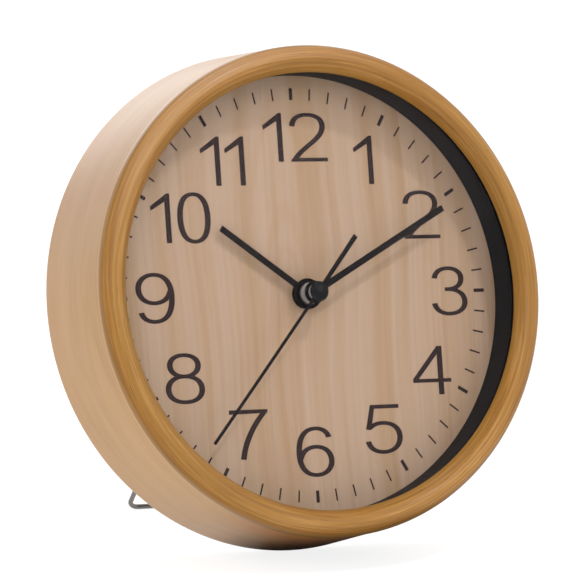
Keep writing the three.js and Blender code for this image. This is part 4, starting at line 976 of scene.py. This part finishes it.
def back_cover():
    """White cover with a walled window for the movement and a well for each screw."""
    low, high, soft = COVER_REAR_Z, COVER_REAR_Z + COVER_PLATE, COVER_EDGE
    ledge, mouth, top = low + WELL_DEPTH, low + WELL_CHAMFER, high + WALL_HEIGHT
    window = rounded_square(WINDOW_HALF, WINDOW_CORNER)
    eased = rounded_square(WINDOW_HALF + soft, WINDOW_CORNER + soft)
    wall = rounded_square(WINDOW_HALF + WALL_THICKNESS, WALL_CORNER)
    rim, rim_in = circle(COVER_RADIUS, SEGMENTS), circle(COVER_RADIUS - soft, SEGMENTS)
    radii = WELL_MOUTH_RADIUS, WELL_RADIUS, SHANK_HOLE_RADIUS
    wides, wells, shanks = (
        [circle(radius, WELL_SIDES, *place) for place in SCREW_PLACES] for radius in radii
    )
    shell = Shell()
    shell.bands((rim_in, low), (rim, low + soft), (rim, high))
    shell.bands((eased, low), (window, low + soft), (window, top))
    shell.bands((wall, high), (wall, top))
    shell.cap(rim_in, [eased, *wides], low)
    shell.cap(rim, [wall, *shanks], high)
    shell.cap(wall, [window], top)
    for wide, well, shank in zip(wides, wells, shanks):
        shell.bands((wide, low), (well, mouth), (well, ledge))
        shell.bands((shank, ledge), (shank, high))
        shell.cap(well, [shank], ledge)
    piece("cover_plate", shell, "case", "cover_plastic", "cover", ["back_cover"])


PIVOT_Y, PIVOT_Z = -21.5, -18.7
LUG_INNER, LUG_OUTER, LUG_ROUND, LUG_HOLE, LUG_ROOT_HALF = 35.4, 38.6, 1.75, 0.92, 2.4
STOP_X, STOP_HALF = 32.4, 1.5
STOP_LOW_Y, STOP_HIGH_Y, STOP_REAR_Z, STOP_FRONT_Z = -27.4, -23.3, -19.2, -17.3
LUG_EDGE = 0.2


def lug_outline(inset):
    """A lug seen from the side, in (y, z): a foot on the cover and a round eye."""
    reach = LUG_ROUND - inset
    foot = LUG_ROOT_HALF - inset
    top = COVER_REAR_Z + 0.2
    eye = arc(PIVOT_Y, PIVOT_Z, reach, reach, 180, 360, 18)
    return [(PIVOT_Y + foot, top), (PIVOT_Y - foot, top), *eye]


def stop_outline(inset):
    """A stop seen from the side, in (y, z): a block on the cover."""
    low, high, rear = STOP_LOW_Y + inset, STOP_HIGH_Y - inset, STOP_REAR_Z + inset
    return [(low, rear), (high, rear), (high, STOP_FRONT_Z), (low, STOP_FRONT_Z)]


def upright_plate(name, outline_of, holes, low_x, high_x):
    """A soft-edged plate of the cover, drawn in (y, z) and standing across X."""
    flat = Shell()
    flat.plate(outline_of(0.0), holes, low_x, high_x, (outline_of(LUG_EDGE), LUG_EDGE))
    shell = Shell()
    shell.add([(z, x, y) for x, y, z in flat.points], flat.faces)
    piece(name, shell, "case", "cover_plastic", "cover", ["back_cover"])


def lugs_and_stops():
    hole = circle(LUG_HOLE, 32, PIVOT_Y, PIVOT_Z)
    for side, name in ((1, "right"), (-1, "left")):
        low, high = sorted((side * LUG_INNER, side * LUG_OUTER))
        upright_plate(f"lug_{name}", lug_outline, [hole], low, high)
        middle = side * STOP_X
        upright_plate(f"stop_{name}", stop_outline, [], middle - STOP_HALF, middle + STOP_HALF)


SCREW_SEAT_Z = COVER_REAR_Z + 0.88
# A screw from its shank's tip to the flat of its head, as (radius, z over its seat)
SCREW_PROFILE = [
    (1.05, 6.0), (1.3, 0.0), (2.75, 0.0), (2.75, -0.35), (2.5, -0.7), (1.9, -0.95), (1.45, -1.02),
]
CROSS_MOUTH, CROSS_FLOOR, CROSS_FLOOR_Z = (1.25, 0.3), (0.95, 0.2), -0.3
FIRST_CROSS_TURN, CROSS_TURN_STEP = 17, 31
SCREW_SIDES = 48


def cross_outline(reach, half):
    """A cross of four equal arms, counterclockwise."""
    arm = [(half, -half), (reach, -half), (reach, half)]
    return [point for quarter in range(4) for point in turned(arm, -90 * quarter)]


def cover_screws():
    """Pan-head screws with a cross recess, sunk in the cover's wells."""
    (tip_radius, tip_z), (flat_radius, flat_z) = SCREW_PROFILE[0], SCREW_PROFILE[-1]
    for number, (x, y) in enumerate(SCREW_PLACES):
        angle = FIRST_CROSS_TURN + CROSS_TURN_STEP * number
        mouth, floor_cross = (turned(cross_outline(*size), angle) for size in (CROSS_MOUTH, CROSS_FLOOR))
        shell = Shell()
        shell.revolve(SCREW_PROFILE, SCREW_SIDES, closed=False)
        shell.cap(circle(tip_radius, SCREW_SIDES), [], tip_z)
        shell.cap(circle(flat_radius, SCREW_SIDES), [mouth], flat_z)
        shell.bands((mouth, flat_z), (floor_cross, CROSS_FLOOR_Z))
        shell.cap(floor_cross, [], CROSS_FLOOR_Z)
        place = CLOCK @ Matrix.Translation((x, y, SCREW_SEAT_Z))
        piece(f"cover_screw_{number + 1}", shell, "case", "contact_steel", "screw", (), place)


KNOB_X, KNOB_Y, KNOB_RIDGES = 16.675, 4.158, 18
KNOB_REAR_Z, KNOB_FRONT_Z, KNOB_EDGE = -19.7, -17.5, 0.2
KNOB_RIM, KNOB_RIM_IN = (4.22, 3.95), (4.02, 3.78)
KNOB_HOLLOW_RADIUS, KNOB_HOLLOW_Z, KNOB_BAR_Z = 2.9, -19.0, -19.5
KNOB_BAR = [(-2.7, -0.5), (2.7, -0.5), (2.7, 0.5), (-2.7, 0.5)]


def knob_outline(peak, dip):
    """Rounded ridges with narrow valleys between them."""
    ridge = [(-0.3, peak), (0.0, peak + 0.05), (0.3, peak), (0.42, dip + 0.1), (0.5, dip), (0.58, dip + 0.1)]
    points = []
    for number in range(KNOB_RIDGES):
        for share, radius in ridge:
            angle = 2 * math.pi * (number + share) / KNOB_RIDGES
            points.append((radius * math.cos(angle), radius * math.sin(angle)))
    return points


def setting_knob():
    rear, front, edge = KNOB_REAR_Z, KNOB_FRONT_Z, KNOB_EDGE
    outer, inner = knob_outline(*KNOB_RIM), knob_outline(*KNOB_RIM_IN)
    hollow = circle(KNOB_HOLLOW_RADIUS, 6 * KNOB_RIDGES)
    shell = Shell()
    shell.bands((inner, rear), (outer, rear + edge), (outer, front - edge), (inner, front))
    shell.bands((hollow, rear), (hollow, KNOB_HOLLOW_Z))
    shell.bands((KNOB_BAR, KNOB_HOLLOW_Z), (KNOB_BAR, KNOB_BAR_Z))
    shell.cap(inner, [], front)
    shell.cap(inner, [hollow], rear)
    shell.cap(hollow, [KNOB_BAR], KNOB_HOLLOW_Z)
    shell.cap(KNOB_BAR, [], KNOB_BAR_Z)
    place = CLOCK @ Matrix.Translation((KNOB_X, KNOB_Y, 0))
    piece("knob_grip", shell, "setting", "knob_plastic", "knob", ["setting_knob"], place)


CELL_X, CELL_Y, CELL_Z = -0.65, -19.5, -12.2
CELL_HALF, CELL_SKIN_RADIUS, CELL_ROLL_RADIUS, CELL_CAN_RADIUS = 24.6, 7.1, 6.3, 5.9
CELL_ROLL, CELL_LIP, CELL_SEAM = 0.2, 0.25, 11.0
# The cell's bare ends, as (radius, length from the end of its jacket)
CELL_REAR = [(0, 0.15), (5.2, 0.15), (5.4, 0.35), (5.95, 0.35)]
CELL_FRONT = [
    (5.95, -0.45), (5.0, -0.45), (4.6, -0.2), (2.9, -0.2), (2.7, 0), (2.7, 1.1), (2.5, 1.3), (0, 1.3),
]


def battery():
    """A round cell in a two-tone jacket that is rolled in at both ends, its axis along X."""
    lay = CLOCK @ Matrix.Translation((CELL_X, CELL_Y, CELL_Z)) @ Matrix.Rotation(math.pi / 2, 4, "Y")
    skin = CELL_SKIN_RADIUS
    for name, look, side in (("cell_jacket", "jacket", -1), ("cell_band", "band", 1)):
        end = side * CELL_HALF
        sleeve = [
            (CELL_CAN_RADIUS, CELL_SEAM), (skin, CELL_SEAM), (skin, end - side * CELL_ROLL),
            (skin - CELL_ROLL, end), (CELL_ROLL_RADIUS, end), (CELL_CAN_RADIUS, end - side * CELL_LIP),
        ]
        lathe(name, sleeve, "case", "cell_can", look, ["battery"], matrix=lay)
    ends = (-CELL_HALF, CELL_REAR), (CELL_HALF, CELL_FRONT)
    poles = [(radius, end + along) for end, run in ends for radius, along in run]
    names = "case", "contact_steel", "spring", ["battery"]
    lathe("cell_poles", poles, *names, closed=False, matrix=lay)


# Wire stand

WIRE_RADIUS, WIRE_FACETS, WIRE_SIDES, WIRE_SHARP_ANGLE = 0.85, 8, 24, 50
WIRE_TIP_BEND, WIRE_FOOT_BEND = 2.2, 4.0
STAND_TIP, STAND_PIVOT, STAND_FOOT = 39.0, 33.0, 25.6


def rounded_run(corners, bends, steps=10):
    """A run of points with each inner corner turned into an arc."""
    points = [corners[0]]
    for before, corner, after, bend in zip(corners, corners[1:], corners[2:], bends):
        back, ahead = (before - corner).normalized(), (after - corner).normalized()
        half = back.angle(ahead) / 2
        centre = corner + (back + ahead).normalized() * bend / math.sin(half)
        start = corner + back * bend / math.tan(half) - centre
        axis = ahead.cross(back).normalized()
        for step in range(steps + 1):
            turn = Matrix.Rotation((math.pi - 2 * half) * step / steps, 3, axis)
            points.append(centre + turn @ start)
    points.append(corners[-1])
    return points


def wire_stand():
    """One bent wire from lug to lug; its foot is where the frame's stand has it."""
    pivot = Vector(joint_named("stand_fold")["pos_m"]) / MM
    low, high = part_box("wire_stand")
    radius = WIRE_RADIUS * math.cos(math.pi / WIRE_FACETS)
    foot = Vector((0, high.y / MM - radius, low.z / MM + radius))
    drop = foot - pivot
    half = [
        pivot + Vector((STAND_TIP, 0, 0)),
        pivot + Vector((STAND_PIVOT, 0, 0)),
        pivot + drop + Vector((STAND_FOOT, 0, 0)),
    ]
    other = [Vector((-point.x, point.y, point.z)) for point in reversed(half)]
    bends = [WIRE_TIP_BEND, WIRE_FOOT_BEND, WIRE_FOOT_BEND, WIRE_TIP_BEND]
    shell = Shell()
    shell.sweep(rounded_run([*half, *other], bends), radius, WIRE_SIDES)
    row = Matrix.Scale(MM, 4)
    piece("stand_rod", shell, "stand", "stand_wire", "chrome", ["wire_stand"], row, WIRE_SHARP_ANGLE)


# Stage, lights and camera, in metres

FLOOR_HALF = 8.0
FLOOR_WHITE, FLOOR_SHADE, FLOOR_GLOW = 0.85, (0.3, 0.3, 0.3, 1), 0.84
# A round patch under the drum that bounces little light: its place, where it fades and its tone
DARK_PATCH_X, DARK_PATCH_Y, DARK_PATCH_FADE, DARK_PATCH_TONE = 0.026, -0.022, (0.036, 0.05625), 0.02


def floor():
    """White floor that keeps a faint shadow, and bounces little light back right under the drum."""
    half = FLOOR_HALF
    mesh = bpy.data.meshes.new("floor")
    corners = [(-half, -half, 0), (half, -half, 0), (half, half, 0), (-half, half, 0)]
    mesh.from_pydata(corners, [], [(0, 1, 2, 3)])
    made = placed("floor", mesh)
    look = Look("floor_white", 0.8)
    x, y, _ = look.split(look.node("ShaderNodeTexCoord").outputs["Object"])
    away = look.length(look.minus(x, DARK_PATCH_X), look.minus(y, DARK_PATCH_Y))
    bounce = look.span(away, *DARK_PATCH_FADE, DARK_PATCH_TONE, FLOOR_WHITE)
    matt = look.node("ShaderNodeBsdfDiffuse", {"Color": look.join(bounce, bounce, bounce)})
    shaded = look.node("ShaderNodeBsdfDiffuse", {"Color": FLOOR_SHADE})
    glossy = look.node("ShaderNodeLightPath").outputs["Is Glossy Ray"]
    level = look.minus(FLOOR_GLOW, look.times(glossy, look.minus(FLOOR_WHITE, bounce)))
    glow = look.node("ShaderNodeEmission", {"Color": WHITE, "Strength": level})
    both = look.node("ShaderNodeAddShader", {0: shaded.outputs[0], 1: glow.outputs[0]})
    sockets = {0: look.seen(), 1: matt.outputs[0], 2: both.outputs[0]}
    mesh.materials.append(look.show(look.node("ShaderNodeMixShader", sockets)))


AMBIENT = 0.62


def world():
    """White where the camera, metal or glass sees it, and a soft even light elsewhere."""
    made = bpy.data.worlds.new("studio")
    bpy.context.scene.world = made
    made.use_nodes = True
    nodes = Nodes(made.node_tree)
    back = nodes.tree.nodes["Background"].inputs
    nodes.fill(back["Color"], WHITE)
    nodes.fill(back["Strength"], nodes.plus(nodes.times(nodes.seen(), 1.0 - AMBIENT), AMBIENT))


LAMP_AIM = Vector((0, 0, 0.08))
# Each lamp's name, place, width and power in watts
LAMPS = [
    ("key", (0.22, -0.68, 1.38), 0.1, 3.9),
    ("front", (0.62, -1.0, 0.8), 0.6, 1.3),
    ("fill", (-0.75, -0.9, 0.7), 0.6, 2.7),
    ("side", (-1.1, 0.15, 0.5), 0.6, 0.6),
    ("top", (-0.1, 0.4, 1.4), 0.6, 3.4),
    ("rim", (0.1, 1.3, 0.6), 0.8, 2.4),
]


def lamps():
    for name, place, width, power in LAMPS:
        light = bpy.data.lights.new(name, "AREA")
        light.shape = "DISK"
        light.size = width
        light.energy = power
        made = placed(name, light)
        made.location = place
        made.rotation_mode = "QUATERNION"
        made.rotation_quaternion = (LAMP_AIM - made.location).to_track_quat("-Z", "Y")


# The photograph's view, as measured from the dial's marks, in the clock frame
CAMERA_PLACE = Vector((-623.35, -105.46, 1159.61))
CAMERA_AIM = Vector((-4.8, 1.51, 0.0))
CAMERA_ROLL = -3.888
CAMERA_LENS, CAMERA_SENSOR = 266.937, 36
CAMERA_RANGE = (0.05, 50)


def camera():
    data = bpy.data.cameras.new("camera")
    data.lens, data.sensor_width = CAMERA_LENS, CAMERA_SENSOR
    data.clip_start, data.clip_end = CAMERA_RANGE
    back = (CAMERA_PLACE - CAMERA_AIM).normalized()
    right = Vector((0, 1, 0)).cross(back).normalized()
    level = Matrix((right, back.cross(right), back)).transposed()
    roll = Matrix.Rotation(math.radians(CAMERA_ROLL), 3, "Z")
    turn = CLOCK.to_3x3().normalized() @ level @ roll
    made = placed("camera", data)
    made.matrix_world = Matrix.Translation(CLOCK @ CAMERA_PLACE) @ turn.to_4x4()
    bpy.context.scene.camera = made


bpy.context.scene.view_settings.view_transform = "Standard"
for build in (
    camera, dress_nodes, case_drum, front_bezel, lens, rehaut, dial, ticks, numerals, hour_hand,
    minute_hand, second_hand, back_cover, lugs_and_stops, cover_screws, setting_knob, battery,
    wire_stand, floor, world, lamps,
):
    build()
